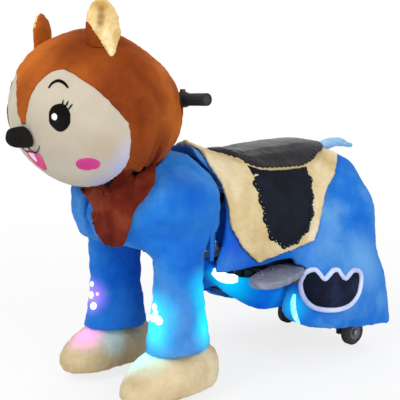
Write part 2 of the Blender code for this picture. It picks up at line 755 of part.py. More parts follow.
def make_belly(looks):
    hole = FOOTREST_BAR_RADIUS + GAP
    bar_y = behind(bar_place())
    tool = rod("belly_bar_hole", (-FOOTREST_BAR_REACH, bar_y, bar_z()), (FOOTREST_BAR_REACH, bar_y, bar_z()),
               hole, looks["steel"])
    for word, side in SIDES:
        grids = []
        for inset in (0.0, BELLY_THICKNESS):
            grid = []
            for step in range(13):
                share = step / 12
                row = []
                for level in range(5):
                    up = level / 4
                    narrow = inset + BELLY_INSET * (1 - up) ** 1.7
                    if share < 0.6:
                        turn = math.pi / 2 * share / 0.6
                        x = (BELLY_HALF_WIDTH - narrow) * math.sin(turn) ** 0.8
                        y = BELLY_FRONT_Y + narrow + (BELLY_HALF_WIDTH - narrow) * 0.55 * (1 - math.cos(turn))
                    else:
                        x = BELLY_HALF_WIDTH - narrow
                        start = BELLY_FRONT_Y + narrow + (BELLY_HALF_WIDTH - narrow) * 0.55
                        y = mix(start, BELLY_REAR_Y, (share - 0.6) / 0.4)
                    bottom = mix(BELLY_PROW_Z, BELLY_BOTTOM_Z, math.sin(math.pi / 2 * min(share / 0.7, 1)))
                    z = mix(bottom, BELLY_TOP_Z, up)
                    row.append(mirrored((max(x, SEAM), behind(y), z), side))
                grid.append(row)
            grids.append(grid)
        cut(sheet(f"belly_cover_{word}", grids[0], grids[1], looks["blue_plush"]), tool)


def make_tail(looks, body_tools):
    path = []
    radii = []
    for step in range(9):
        share = step / 8
        z = TAIL_ROOT_Z + TAIL_RISE * math.sin(math.pi * min(share * 1.1, 1))
        path.append((0, behind(mix(TAIL_ROOT_Y, TAIL_REACH, share)), z))
        radii.append(mix(TAIL_ROOT_RADIUS, TAIL_TIP_RADIUS, share ** 2))
    tail = swept("tail", path, radii, looks["pale_blue_plush"])
    for tool in body_tools:
        cut(tail, tool)


def blanket_point(share, drop, outward, margin=0.0):
    """A point of the saddle blanket: share runs from front to rear edge, drop from ridge to lower edge."""
    bottom = mix(BLANKET_TIP_Z, BLANKET_REAR_Z, share) - margin
    front = mix(BLANKET_FRONT_Y, BLANKET_TIP_Y, along(BLANKET_FRONT_SHARES, drop))
    rear = mix(BLANKET_FLAP_REAR_Y, BLANKET_TOP_REAR_Y, along(BLANKET_REAR_SHARES, drop))
    place = mix(front - margin, rear + margin, share)
    z_aim = mix(ridge_z(place), bottom, drop)
    x, z = flank(place, flank_share_at(place, z_aim), outward)
    place = max(place, clear_y(x, z) + BLANKET_EDGE_MARGIN)
    x, z = flank(place, flank_share_at(place, z_aim), outward)
    return x, place, z


def blanket_rows(outward, margin=0.0):
    rows = []
    for step in range(BLANKET_STEPS + 1):
        share = step / BLANKET_STEPS
        half = [blanket_point(share, drop, outward, margin) for drop in BLANKET_DROP_SHARES]
        row = [(-x, behind(y), z) for x, y, z in reversed(half[1:])]
        row += [(x, behind(y), z) for x, y, z in half]
        rows.append(row)
    return rows


def blanket_guide(name, thickness, margin, looks):
    return sheet(name, blanket_rows(thickness, margin), blanket_rows(-SEAM, margin), looks["steel"])


def make_saddle(looks, body_tools):
    blanket = sheet("saddle_blanket", blanket_rows(BLANKET_THICKNESS), blanket_rows(-COVER_THICKNESS / 4),
                    looks["cream_plush"])
    for body_tool in body_tools:
        cut(blanket, body_tool)
    top = BLANKET_THICKNESS + GAP
    tool = blanket_guide("blanket_guide", top, 0.0, looks)
    make_seat(looks, top, [tool] + body_tools)
    make_flaps(looks, top, tool)


def make_seat(looks, base, tools):
    grids = []
    for crown in (SEAT_THICKNESS, -BLANKET_THICKNESS / 2):
        grid = []
        for step in range(SEAT_STEPS + 1):
            place = mix(SEAT_FRONT_Y, SEAT_REAR_Y, step / SEAT_STEPS)
            half = []
            for inward in range(SEAT_HALF_STEPS + 1):
                reach = seat_half(place) * inward / SEAT_HALF_STEPS
                edge_share = seat_share(place, reach)
                round_off = math.sqrt(1 - (inward / SEAT_HALF_STEPS) ** 2 * SEAT_ROUNDING)
                x, z = flank(place, edge_share, base + (crown * round_off if crown > 0 else crown))
                half.append((x, behind(place), z))
            row = [(-x, y, z) for x, y, z in reversed(half[1:])] + half
            grid.append(row)
        grids.append(grid)
    seat = sheet("seat_cover", grids[0], grids[1], looks["seat_leather"])
    for tool in tools:
        cut(seat, tool)


def seat_half(place):
    return SEAT_HALF_WIDTH * along(SEAT_OUTLINE_SHARES, (place - SEAT_FRONT_Y) / (SEAT_REAR_Y - SEAT_FRONT_Y))


def make_flaps(looks, base, tool):
    for word, side in SIDES:
        grids = []
        for outward in (base + FLAP_THICKNESS, base - BLANKET_THICKNESS / 2):
            grid = []
            for drop, front, rear in FLAP_OUTLINE_SHARES:
                row = []
                for step in range(FLAP_STEPS + 1):
                    place = mix(FLAP_FRONT_Y, FLAP_REAR_Y, mix(front, rear, step / FLAP_STEPS))
                    _, top = flank(place, seat_share(place, seat_half(place)))
                    height = mix(top - FLAP_SEAT_GAP, FLAP_BOTTOM_Z, drop)
                    x, z = flank(place, flank_share_at(place, height), outward)
                    row.append(mirrored((x, behind(place), z), side))
                grid.append(row)
            grids.append(grid)
        cut(sheet(f"seat_flap_{word}", grids[0], grids[1], looks["flap_leather"]), tool)


def bar_place():
    return SPINE_FOOT_Y + SPINE_RADIUS + GAP + FOOTREST_BAR_RADIUS


def bar_z():
    return FOOTREST_Z - GAP - FOOTREST_BAR_RADIUS


def make_chassis(looks):
    plate_top = PLATE_Z + PLATE_THICKNESS
    block("chassis_plate", (-PLATE_HALF_WIDTH, behind(PLATE_FRONT), PLATE_Z),
          (PLATE_HALF_WIDTH, behind(PLATE_REAR), plate_top), looks["painted_steel"], bevel=SMALL_BEVEL)
    path = [(0, behind(HEAD_TUBE_RADIUS - WELD_DEPTH), SPINE_Z), (0, behind(SPINE_BEND_START), SPINE_Z)]
    corner = Vector((0, behind(SPINE_FOOT_Y - SPINE_BEND_RADIUS), SPINE_Z - SPINE_BEND_RADIUS))
    for step in range(1, 7):
        turn = math.pi / 2 * step / 6
        path.append(corner + SPINE_BEND_RADIUS * Vector((0, math.sin(turn), math.cos(turn))))
    path.append((0, behind(SPINE_FOOT_Y), plate_top + GAP))
    spine = swept("frame_spine", path, [SPINE_RADIUS] * len(path), looks["painted_steel"])
    head_tube = turned("head_tube",
                       tube_wall(HEAD_TUBE_RADIUS, COLUMN_RADIUS + RUNNING_GAP, HEAD_TUBE_TOP - HEAD_TUBE_BOTTOM),
                       (0, behind(0), HEAD_TUBE_BOTTOM), (0, 0, 1), looks["painted_steel"])
    combine(spine, head_tube, "UNION")
    rail_bottom = BOARD_Z - GAP - 2 * POST_HALF_SIDE
    seat_frame = block("seat_frame", (-POST_HALF_SIDE, behind(POST_FRONT_Y), rail_bottom),
                       (POST_HALF_SIDE, behind(POST_REAR_Y), BOARD_Z - GAP), looks["painted_steel"])
    for word, place in (("front", POST_FRONT_Y), ("rear", POST_REAR_Y)):
        post = block(f"seat_post_{word}", (-POST_HALF_SIDE, behind(place) - POST_HALF_SIDE, plate_top + GAP),
                     (POST_HALF_SIDE, behind(place) + POST_HALF_SIDE, BOARD_Z - GAP), looks["painted_steel"])
        combine(seat_frame, post, "UNION")
    block("seat_board", (-BOARD_HALF_WIDTH, behind(BOARD_FRONT), BOARD_Z),
          (BOARD_HALF_WIDTH, behind(BOARD_REAR), BOARD_Z + BOARD_THICKNESS), looks["plywood"], bevel=SMALL_BEVEL)
    make_footrests(looks)
    for word, side in SIDES:
        near = BATTERY_INSIDE_X * side
        far = (BATTERY_INSIDE_X + BATTERY_WIDTH) * side
        block(f"battery_{word}", (min(near, far), behind(BATTERY_FRONT_Y), plate_top + GAP),
              (max(near, far), behind(BATTERY_FRONT_Y + BATTERY_LENGTH), plate_top + GAP + BATTERY_HEIGHT),
              looks["battery"], bevel=SMALL_BEVEL)
    block("controller_box", (CONTROLLER_X, behind(CONTROLLER_Y), plate_top + GAP),
          (CONTROLLER_X + CONTROLLER_WIDTH, behind(CONTROLLER_Y + CONTROLLER_LENGTH),
           plate_top + GAP + CONTROLLER_HEIGHT), looks["black_plastic"], bevel=SMALL_BEVEL)
    bottom = SOCKET_LENGTH - SOCKET_BORE_DEPTH
    socket = ((0, 0), (SOCKET_RADIUS, 0), (SOCKET_RADIUS, SOCKET_LENGTH), (SOCKET_BORE_RADIUS, SOCKET_LENGTH),
              (SOCKET_BORE_RADIUS, bottom))
    turned("charge_socket", socket,
           (-SOCKET_X, behind(PLATE_REAR) - SOCKET_LENGTH - SMALL_BEVEL, plate_top + GAP + SOCKET_RADIUS),
           (0, 1, 0), looks["black_plastic"])


def squared(share):
    """A cosine or sine drawn towards its ends, so that a round outline becomes a little square."""
    return math.copysign(abs(share) ** FOOTREST_SQUARENESS, share)


def footrest(name, side, margin, looks):
    middle = Vector((FOOTREST_X * side, behind(FOOTREST_Y), FOOTREST_Z - margin))
    turn = Matrix.Rotation(FOOTREST_TOE_OUT * side, 3, "Z")
    rings = []
    for rise, size in FOOTREST_EDGE_SHARES:
        ring = []
        for step in range(FINE_SIDES):
            angle = math.tau * step / FINE_SIDES
            across = squared(math.cos(angle)) * (FOOTREST_WIDTH / 2 + margin) * size
            forward = squared(math.sin(angle)) * (FOOTREST_LENGTH / 2 + margin) * size
            ring.append(middle + turn @ Vector((across, forward, (FOOTREST_THICKNESS + 2 * margin) * rise)))
        rings.append(ring)
    return loft(name, rings, looks["grey_plastic"])


def make_footrests(looks):
    rod("footrest_bar", (-FOOTREST_BAR_REACH, behind(bar_place()), bar_z()),
        (FOOTREST_BAR_REACH, behind(bar_place()), bar_z()), FOOTREST_BAR_RADIUS, looks["painted_steel"])
    for word, side in SIDES:
        footrest(f"footrest_{word}", side, 0.0, looks)


def make_drive(looks):
    axle = Vector((0, REAR_AXLE_Y, REAR_WHEEL_RADIUS))
    motor = Vector((0, REAR_AXLE_Y - MOTOR_AHEAD, PLATE_Z - GAP - MOTOR_RADIUS))
    body_x = BELT_X + BELT_WIDTH / 2 + FLANGE_WIDTH + MOTOR_SHAFT_REACH / 4
    shaft = MOTOR_SHAFT_RADIUS
    outline = ((0, -MOTOR_SHAFT_REACH), (shaft, -MOTOR_SHAFT_REACH), (shaft, 0), (MOTOR_RADIUS, 0),
               (MOTOR_RADIUS, MOTOR_LENGTH), (0, MOTOR_LENGTH))
    turned("drive_motor", outline, motor + Vector((body_x, 0, 0)), (1, 0, 0), looks["painted_steel"])
    pulley_start = BELT_X - BELT_WIDTH / 2 - FLANGE_WIDTH
    for name, hub, radius, bore in (
            ("motor_pulley", motor, MOTOR_PULLEY_RADIUS, shaft + GAP),
            ("axle_pulley", axle, AXLE_PULLEY_RADIUS, AXLE_RADIUS + GAP)):
        rim = radius + FLANGE_HEIGHT
        width = BELT_WIDTH + 2 * FLANGE_WIDTH
        profile = ((rim, 0), (rim, FLANGE_WIDTH), (radius, FLANGE_WIDTH), (radius, width - FLANGE_WIDTH),
                   (rim, width - FLANGE_WIDTH), (rim, width), (bore, width), (bore, 0))
        pulley = turned(name, profile, hub + Vector((pulley_start, 0, 0)), (1, 0, 0), looks["black_plastic"],
                        sides=PULLEY_SIDES)
        set_pivot(pulley, hub)
    make_belt(looks, motor, axle)
    reach = HALF_TRACK + REAR_WHEEL_WIDTH / 2 + SMALL_BEVEL
    set_pivot(rod("rear_axle", axle - Vector((reach, 0, 0)), axle + Vector((reach, 0, 0)), AXLE_RADIUS,
                  looks["steel"], sides=FINE_SIDES), axle)
    bracket_x = HALF_TRACK - REAR_WHEEL_WIDTH / 2 - BRACKET_TO_WHEEL
    for word, side in SIDES:
        inner = (bracket_x - BRACKET_THICKNESS) * side
        outer = bracket_x * side
        bracket = block(f"axle_bracket_{word}", (min(inner, outer), REAR_AXLE_Y - BRACKET_HALF_LENGTH,
                                                REAR_WHEEL_RADIUS - BRACKET_BELOW_AXLE),
                        (max(inner, outer), REAR_AXLE_Y + BRACKET_HALF_LENGTH, PLATE_Z - GAP),
                        looks["painted_steel"])
        bore = rod(f"bracket_bore_{word}", (inner - OVERRUN * side, axle.y, axle.z),
                   (outer + OVERRUN * side, axle.y, axle.z), AXLE_RADIUS + RUNNING_GAP, looks["steel"],
                   sides=FINE_SIDES)
        cut(bracket, bore)
        hub_gap = GAP if side > 0 else RUNNING_GAP
        wheel = make_wheel(f"rear_wheel_{word}", REAR_WHEEL_RADIUS, REAR_WHEEL_WIDTH, AXLE_RADIUS + hub_gap,
                           Vector((HALF_TRACK * side, axle.y, axle.z)), looks)
        set_pivot(wheel, (HALF_TRACK * side, axle.y, axle.z))


def make_wheel(name, radius, width, bore, middle, looks, parent=None):
    half = width / 2
    outline = (
        (radius - TYRE_ROUND, -half), (radius, -half + TYRE_ROUND), (radius, half - TYRE_ROUND),
        (radius - TYRE_ROUND, half), (HUB_RADIUS, half), (HUB_RADIUS - HUB_STEP, half - HUB_STEP),
        (bore, half - HUB_STEP), (bore, -half + HUB_STEP), (HUB_RADIUS - HUB_STEP, -half + HUB_STEP),
        (HUB_RADIUS, -half),
    )
    return turned(name, outline, middle, (1, 0, 0), looks["tyre"], parent)


def make_belt(looks, motor, axle):
    """A flat belt round both pulleys, whose two runs touch them along their outer tangents."""
    span = axle - motor
    distance = span.length
    heading = math.atan2(span.z, span.y)
    open_angle = math.acos((MOTOR_PULLEY_RADIUS - AXLE_PULLEY_RADIUS) / distance)
    rings = ([], [])
    for offset, ring in zip((GAP + BELT_THICKNESS, GAP), rings):
        for hub, radius, start, end in (
                (motor, MOTOR_PULLEY_RADIUS, open_angle, math.tau - open_angle),
                (axle, AXLE_PULLEY_RADIUS, -open_angle, open_angle)):
            for step in range(BELT_STEPS + 1):
                turn = heading + mix(start, end, step / BELT_STEPS)
                reach = (radius + offset) / math.cos((end - start) / BELT_STEPS / 2)
                ring.append((hub.y + reach * math.cos(turn), hub.z + reach * math.sin(turn)))
    left = BELT_X - BELT_WIDTH / 2 + GAP
    right = BELT_X + BELT_WIDTH / 2 - GAP
    count = len(rings[0])
    loops = [[(x, y, z) for y, z in ring] for ring, x in
             ((rings[0], left), (rings[0], right), (rings[1], right), (rings[1], left))]
    points = [point for loop in loops for point in loop]
    faces = []
    for row in range(4):
        for column in range(count):
            after = (column + 1) % count
            below = (row + 1) % 4
            upper, lower = row * count, below * count
            faces.append((upper + column, upper + after, lower + after, lower + column))
    add_mesh("drive_belt", points, faces, looks["rubber"])


# The steered front half is modelled straight ahead, under an empty that is turned as in use
def chest_reach(z):
    """The share of its full width that the chest has at a height."""
    if z < CHEST_SPLIT_Z:
        return along(LOW_CHEST_SHARES, max(z - CROTCH_Z, 0) / (CHEST_SPLIT_Z - CROTCH_Z))
    return along(CHEST_SHARES, (z - CHEST_SPLIT_Z) / (CHEST_TOP_Z - CHEST_SPLIT_Z))


def chest_point(turn, z, outward=0.0):
    """A point of the chest's outside: turn 0 is the front; its rear follows the circle it turns in."""
    size = chest_reach(z)
    x = CHEST_HALF_WIDTH * size * math.sin(turn)
    back = CHEST_BACK * size
    if math.cos(turn) > 0:
        y = back - CHEST_HALF_FRONT * size * math.cos(turn)
    else:
        limit = clear_radius(z) - CHEST_TURN_GAP
        y = back + (math.sqrt(max(limit ** 2 - x ** 2, 0)) - back) * (-math.cos(turn)) ** CHEST_ROUND_SHARE
    return x + outward * math.sin(turn), y - outward * math.cos(turn), z


def chest_ring(z):
    return [chest_point(math.tau * step / FINE_SIDES, z) for step in range(FINE_SIDES)]


def make_chest(looks, front, head_tool):
    heights = [mix(CHEST_SPLIT_Z + GAP, CHEST_TOP_Z, share) for share in CHEST_ROW_SHARES]
    chest = loft("chest", [chest_ring(z) for z in heights], looks["blue_plush"], front)
    bore = rod("chest_bore", (0, 0, CHEST_SPLIT_Z - OVERRUN), (0, 0, HEAD_TUBE_TOP + SPINE_CLEARANCE),
               HEAD_TUBE_RADIUS + SPINE_CLEARANCE, looks["steel"], front)
    column_hole = rod("chest_column_hole", (0, 0, HEAD_TUBE_TOP), (0, 0, CHEST_TOP_Z + OVERRUN),
                      COLUMN_RADIUS + SEAM, looks["steel"], front, sides=FINE_SIDES)
    cut(chest, head_tool)
    cut(chest, bore)
    cut(chest, column_hole)


def inside_reach(x, y, dx, dy, z):
    """How far the chest's side lies from a point inside it, in one direction."""
    low, high = 0.0, 2 * CHEST_HALF_WIDTH + CLEAR_RADIUS
    size = chest_reach(z)
    wide = CHEST_HALF_WIDTH * size
    for _ in range(30):
        middle = (low + high) / 2
        at_x, at_y = x + middle * dx, y + middle * dy
        inside = abs(at_x) < wide
        if inside:
            turn = math.asin(abs(at_x) / wide)
            if at_y < CHEST_BACK * size:
                inside = at_y > chest_point(turn, z)[1]
            else:
                inside = at_y < chest_point(math.pi - turn, z)[1]
        if inside:
            low = middle
        else:
            high = middle
    return low


def leg_reach(turn, z):
    """How far a leg's side lies from its middle, in one direction at one height."""
    hem = min(max((LEG_WAIST_Z - z) / (LEG_WAIST_Z - LEG_HEM_Z), 0), 1)
    half_x = mix(LEG_HALF_WIDTH, HEM_HALF_WIDTH, hem)
    half_y = mix(LEG_HALF_LENGTH, HEM_HALF_LENGTH, hem)
    dx, dy = math.sin(turn), -math.cos(turn)
    inner_front = max(-(dx + dy), 0) ** 2 / 2
    slim = (1 - LEG_HOLLOW_SHARE * (1 - LEG_HEM_SHARE * hem) * inner_front)
    slim /= math.sqrt((dx / half_x) ** 2 + (dy / half_y) ** 2)
    full = inside_reach(LEG_X, LEG_Y, dx, dy, z)
    if dx < 0:
        full = min(full, (LEG_X - SEAM) / -dx)
    blend = min(max((z - CROTCH_Z + CROTCH_FADE) / CROTCH_FADE, 0), 1)
    return mix(slim, full, blend ** 2 * (3 - 2 * blend))


def make_legs(looks, front):
    low_z = HEAD_TUBE_BOTTOM - GAP
    reach = CLEAR_RADIUS + OVERRUN
    wide, deep = reach * math.sin(SPINE_SWEEP), reach * math.cos(SPINE_SWEEP)
    sector = [(0, -SPINE_RADIUS - SPINE_CLEARANCE), (wide, deep), (0, reach / math.cos(SPINE_SWEEP)), (-wide, deep)]
    slot = loft("spine_slot", [[(x, y, z) for x, y in sector] for z in (low_z, CHEST_SPLIT_Z + OVERRUN)],
                looks["steel"], front)
    pocket = rod("head_tube_pocket", (0, 0, low_z - SEAM), (0, 0, CHEST_SPLIT_Z + 2 * OVERRUN),
                 HEAD_TUBE_RADIUS + SPINE_CLEARANCE, looks["steel"], front, sides=FINE_SIDES)
    tunnel_reach = HALF_TRACK + FORK_HALF_SIDE + SEAM
    tunnel = block("beam_tunnel", (-tunnel_reach, -BEAM_HALF_DEPTH - SEAM, BEAM_TOP_Z - BEAM_HEIGHT - GAP),
                   (tunnel_reach, BEAM_HALF_DEPTH + SEAM, low_z + OVERRUN), looks["steel"], front)
    heights = [mix(LEG_HEM_Z, LEG_WAIST_Z, share) for share in LEG_ROW_SHARES]
    heights += [mix(CROTCH_Z - CROTCH_FADE, CROTCH_Z, share) for share in CROTCH_ROW_SHARES]
    heights += [mix(CROTCH_Z, CHEST_SPLIT_Z, share) for share in LOW_CHEST_ROW_SHARES]
    for word, side in SIDES:
        rings = []
        for z in heights:
            ring = []
            for step in range(FINE_SIDES):
                turn = math.tau * step / FINE_SIDES
                far = leg_reach(turn, z)
                ring.append(mirrored((LEG_X + far * math.sin(turn), LEG_Y - far * math.cos(turn), z), side))
            rings.append(ring)
        leg = loft(f"front_leg_{word}", rings, looks["blue_plush"], front)
        bore = block(f"fork_bore_{word}",
                     (HALF_TRACK * side - FORK_HALF_SIDE - GAP, -FORK_HALF_SIDE - GAP, LEG_HEM_Z - OVERRUN),
                     (HALF_TRACK * side + FORK_HALF_SIDE + GAP, FORK_HALF_SIDE + GAP, BEAM_TOP_Z - BEAM_HEIGHT / 2),
                     looks["steel"], front)
        for tool in (slot, pocket, tunnel, bore):
            cut(leg, tool)
        make_paw(word, side, looks, front, bore)


def make_paw(word, side, looks, front, bore):
    rings = []
    top = LEG_HEM_Z - GAP
    for up, size in PAW_SHARES:
        z = mix(PAW_BOTTOM_Z, top, up)
        back = mix(PAW_BACK, LEG_Y, max(up - 0.3, 0) / 0.7)
        ring = []
        for step in range(FINE_SIDES):
            turn = math.tau * step / FINE_SIDES
            ring.append((HALF_TRACK * side + PAW_HALF_WIDTH * size * math.sin(turn),
                         back - PAW_HALF_LENGTH * size * math.cos(turn), z))
        rings.append(ring)
    paw = loft(f"paw_{word}", rings, looks["cream_plush"], front)
    half = FRONT_WHEEL_WIDTH / 2 + HUB_STEP + YOKE_WALL + BOLT_HEAD_LENGTH + WHEEL_WELL_MARGIN
    well = block(f"wheel_well_{word}",
                 (HALF_TRACK * side - half, -FRONT_WHEEL_RADIUS - WHEEL_WELL_MARGIN, -OVERRUN),
                 (HALF_TRACK * side + half, FRONT_WHEEL_RADIUS + WHEEL_WELL_MARGIN, YOKE_TOP_Z + GAP),
                 looks["steel"], front)
    passage = block(f"paw_passage_{word}",
                    (HALF_TRACK * side - FORK_HALF_SIDE - GAP, -FORK_HALF_SIDE - GAP, YOKE_TOP_Z - OVERRUN),
                    (HALF_TRACK * side + FORK_HALF_SIDE + GAP, FORK_HALF_SIDE + GAP, LEG_HEM_Z + OVERRUN),
                    looks["steel"], front)
    cut(paw, well)
    cut(paw, passage)


def make_fork(looks, front):
    """The column, its crossbeam and both legs with their yokes are one weldment."""
    beam_bottom = BEAM_TOP_Z - BEAM_HEIGHT
    fork = block("front_fork", (-HALF_TRACK - FORK_HALF_SIDE, -BEAM_HALF_DEPTH, beam_bottom),
                 (HALF_TRACK + FORK_HALF_SIDE, BEAM_HALF_DEPTH, BEAM_TOP_Z), looks["painted_steel"], front)
    column = rod("steering_column", (0, 0, BEAM_TOP_Z - WELD_DEPTH), (0, 0, STEM_TOP_Z), COLUMN_RADIUS,
                 looks["painted_steel"], front, sides=FINE_SIDES)
    combine(fork, column, "UNION")
    inside = FRONT_WHEEL_WIDTH / 2 + HUB_STEP
    reach = inside + YOKE_WALL
    across = Vector((1, 0, 0))
    for word, side in SIDES:
        x = HALF_TRACK * side
        axle = Vector((x, 0, FRONT_WHEEL_RADIUS))
        leg = block(f"fork_leg_{word}", (x - FORK_HALF_SIDE, -FORK_HALF_SIDE, YOKE_TOP_Z - YOKE_WALL / 2),
                    (x + FORK_HALF_SIDE, FORK_HALF_SIDE, beam_bottom + WELD_DEPTH), looks["painted_steel"], front)
        combine(fork, leg, "UNION")
        yoke = block(f"yoke_{word}", (x - reach, -YOKE_HALF_LENGTH, FRONT_WHEEL_RADIUS - YOKE_BELOW_AXLE),
                     (x + reach, YOKE_HALF_LENGTH, YOKE_TOP_Z), looks["painted_steel"], front)
        combine(fork, yoke, "UNION")
        slot = block(f"yoke_slot_{word}", (x - inside, -YOKE_HALF_LENGTH - OVERRUN, -OVERRUN),
                     (x + inside, YOKE_HALF_LENGTH + OVERRUN, YOKE_TOP_Z - YOKE_WALL), looks["steel"], front)
        cut(fork, slot)
        hole = rod(f"yoke_hole_{word}", axle - across * (reach + OVERRUN), axle + across * (reach + OVERRUN),
                   BOLT_RADIUS + GAP, looks["steel"], front)
        cut(fork, hole)
        head = reach + GAP
        outline = ((0, -head - BOLT_HEAD_LENGTH), (BOLT_HEAD_RADIUS, -head - BOLT_HEAD_LENGTH),
                   (BOLT_HEAD_RADIUS, -head), (BOLT_RADIUS, -head), (BOLT_RADIUS, head), (BOLT_HEAD_RADIUS, head),
                   (BOLT_HEAD_RADIUS, head + BOLT_HEAD_LENGTH), (0, head + BOLT_HEAD_LENGTH))
        turned(f"front_axle_bolt_{word}", outline, axle, across, looks["steel"], front, sides=COARSE_SIDES)
        wheel = make_wheel(f"front_wheel_{word}", FRONT_WHEEL_RADIUS, FRONT_WHEEL_WIDTH, BOLT_RADIUS + RUNNING_GAP,
                           axle, looks, front)
        set_pivot(wheel, axle)


def make_handlebar(looks, front):
    bar_low = (-BAR_HALF_LENGTH + SMALL_BEVEL, BAR_Y, BAR_Z)
    bar = rod("handlebar", bar_low, mirrored(bar_low, -1), BAR_RADIUS, looks["black_metal"], front,
              sides=COARSE_SIDES)
    stem = block("handlebar_stem", (-BAR_RADIUS, -COLUMN_RADIUS, STEM_TOP_Z + GAP),
                 (BAR_RADIUS, BAR_Y, BAR_Z + BAR_RADIUS / 2), looks["black_metal"], front)
    combine(bar, stem, "UNION")
    inner = BAR_HALF_LENGTH - GRIP_LENGTH
    for word, side in SIDES:
        start = Vector((inner * side, BAR_Y, BAR_Z))
        bore = BAR_RADIUS + GAP
        edge = GRIP_RADIUS - SMALL_BEVEL
        outline = ((bore, 0), (edge, 0), (GRIP_RADIUS, SMALL_BEVEL), (GRIP_RADIUS, GRIP_LENGTH - SMALL_BEVEL),
                   (edge, GRIP_LENGTH), (bore, GRIP_LENGTH))
        turned(f"grip_{word}", outline, start, (side, 0, 0), looks["rubber"], front, sides=COARSE_SIDES)
    make_controls(looks, front, inner)


def make_controls(looks, front, inner):
    bore = BAR_RADIUS + GAP
    for name, side in (("switch_housing", 1), ("throttle_housing", -1)):
        start = Vector(((inner - GAP) * side, BAR_Y, BAR_Z))
        housing = turned(name, tube_wall(HOUSING_RADIUS, bore, HOUSING_LENGTH), start, (-side, 0, 0),
                         looks["black_plastic"], front, sides=COARSE_SIDES)
        middle = start - Vector((HOUSING_LENGTH / 2 * side, 0, 0))
        if side > 0:
            well_top = BAR_Z + HOUSING_RADIUS
            well = rod("button_well", middle + Vector((0, 0, BAR_RADIUS + BUTTON_TRAVEL / 2)),
                       middle + Vector((0, 0, HOUSING_RADIUS + OVERRUN)), BUTTON_RADIUS + RUNNING_GAP,
                       looks["steel"], front)
            cut(housing, well)
            low = Vector((middle.x, middle.y, well_top - BUTTON_HEIGHT / 2 + BUTTON_TRAVEL / 2))
            button = rod("start_button", low, low + Vector((0, 0, BUTTON_HEIGHT)), BUTTON_RADIUS,
                         looks["red_plastic"], front)
            set_pivot(button, low)
        else:
            pivot = middle + Vector((0, HOUSING_RADIUS + GAP + LEVER_HUB_RADIUS, 0))
            lever = block("throttle_lever",
                          pivot - Vector((LEVER_WIDTH / 2, LEVER_THICKNESS / 2, LEVER_LENGTH)),
                          pivot + Vector((LEVER_WIDTH / 2, LEVER_THICKNESS / 2, 0)), looks["red_plastic"], front)
            hub_reach = Vector((LEVER_WIDTH / 2 + SMALL_BEVEL, 0, 0))
            hub = rod("lever_hub", pivot - hub_reach, pivot + hub_reach, LEVER_HUB_RADIUS,
                      looks["red_plastic"], front)
            combine(lever, hub, "UNION")
            set_pivot(lever, pivot)


def head_point(azimuth, height_share, outward=0.0):
    """A point of the head's ball: azimuth 0 is the face, and height_share runs from -1 to 1."""
    round_share = math.sqrt(max(1 - height_share ** 2, 0))
    x = math.sin(azimuth) * round_share
    y = -math.cos(azimuth) * round_share
    half_y = HEAD_HALF_FRONT + outward
    if y > 0:
        x *= 1 - HEAD_NARROWING_SHARE * y ** 2
        y *= round_share ** (HEAD_CROWN_ROUNDING if height_share > 0 else HEAD_NAPE_ROUNDING)
        half_y = HEAD_HALF_REAR + outward
    return ((HEAD_HALF_WIDTH + outward) * x, half_y * y, (HEAD_HALF_HEIGHT + outward) * height_share)


def face_edge(height_share):
    return math.radians(90) * falling(FACE_EDGE_SHARES, height_share)


def ball(name, outward, rows, columns, look, parent):
    rings = []
    for row in range(1, rows):
        height = math.cos(math.pi * row / rows)
        rings.append([head_point(math.tau * step / columns, height, outward) for step in range(columns)])
    return loft(name, rings, look, parent)


def make_head(looks, front, head, shell):
    core = ball("head_core", -SKIN_THICKNESS - CORE_GAP, CORE_ROWS, FINE_SIDES, looks["foam"], head)
    slot = block("stem_slot", (-STEM_SLOT_HALF_WIDTH, -COLUMN_RADIUS - GAP, HEAD_Z - HEAD_HALF_HEIGHT - OVERRUN),
                 (STEM_SLOT_HALF_WIDTH, BAR_Y + HOUSING_RADIUS, BAR_Z + HOUSING_RADIUS), looks["steel"], front)
    bar_hole = rod("bar_hole", (-HEAD_HALF_WIDTH, BAR_Y, BAR_Z), (HEAD_HALF_WIDTH, BAR_Y, BAR_Z),
                   BAR_HOLE_RADIUS, looks["steel"], front, sides=FINE_SIDES)
    cut(core, slot)
    cut(core, bar_hole)
    edge_gap = GAP / HEAD_HALF_WIDTH
    grids = [[], []]
    hood_grids = [[], []]
    for layer, outward in enumerate((0.0, -SKIN_THICKNESS)):
        for height in FACE_ROW_SHARES:
            edge = face_edge(height) - edge_gap
            turns = [mix(-edge, edge, step / FACE_STEPS) for step in range(FACE_STEPS + 1)]
            grids[layer].append([head_point(turn, height, outward) for turn in turns])
        for height in HOOD_ROW_SHARES:
            edge = face_edge(height) + edge_gap if height < FACE_EDGE_SHARES[0][0] else edge_gap * 2
            turns = [mix(edge, math.tau - edge, step / HOOD_STEPS) for step in range(HOOD_STEPS + 1)]
            hood_grids[layer].append([head_point(turn, height, outward) for turn in turns])
    sheet("face_mask", grids[0], grids[1], looks["white_plush"], head)
    hood = sheet("hood", hood_grids[0], hood_grids[1], looks["brown_plush"], head)
    cut(hood, bar_hole)
    make_nose_and_ears(looks, head, shell)


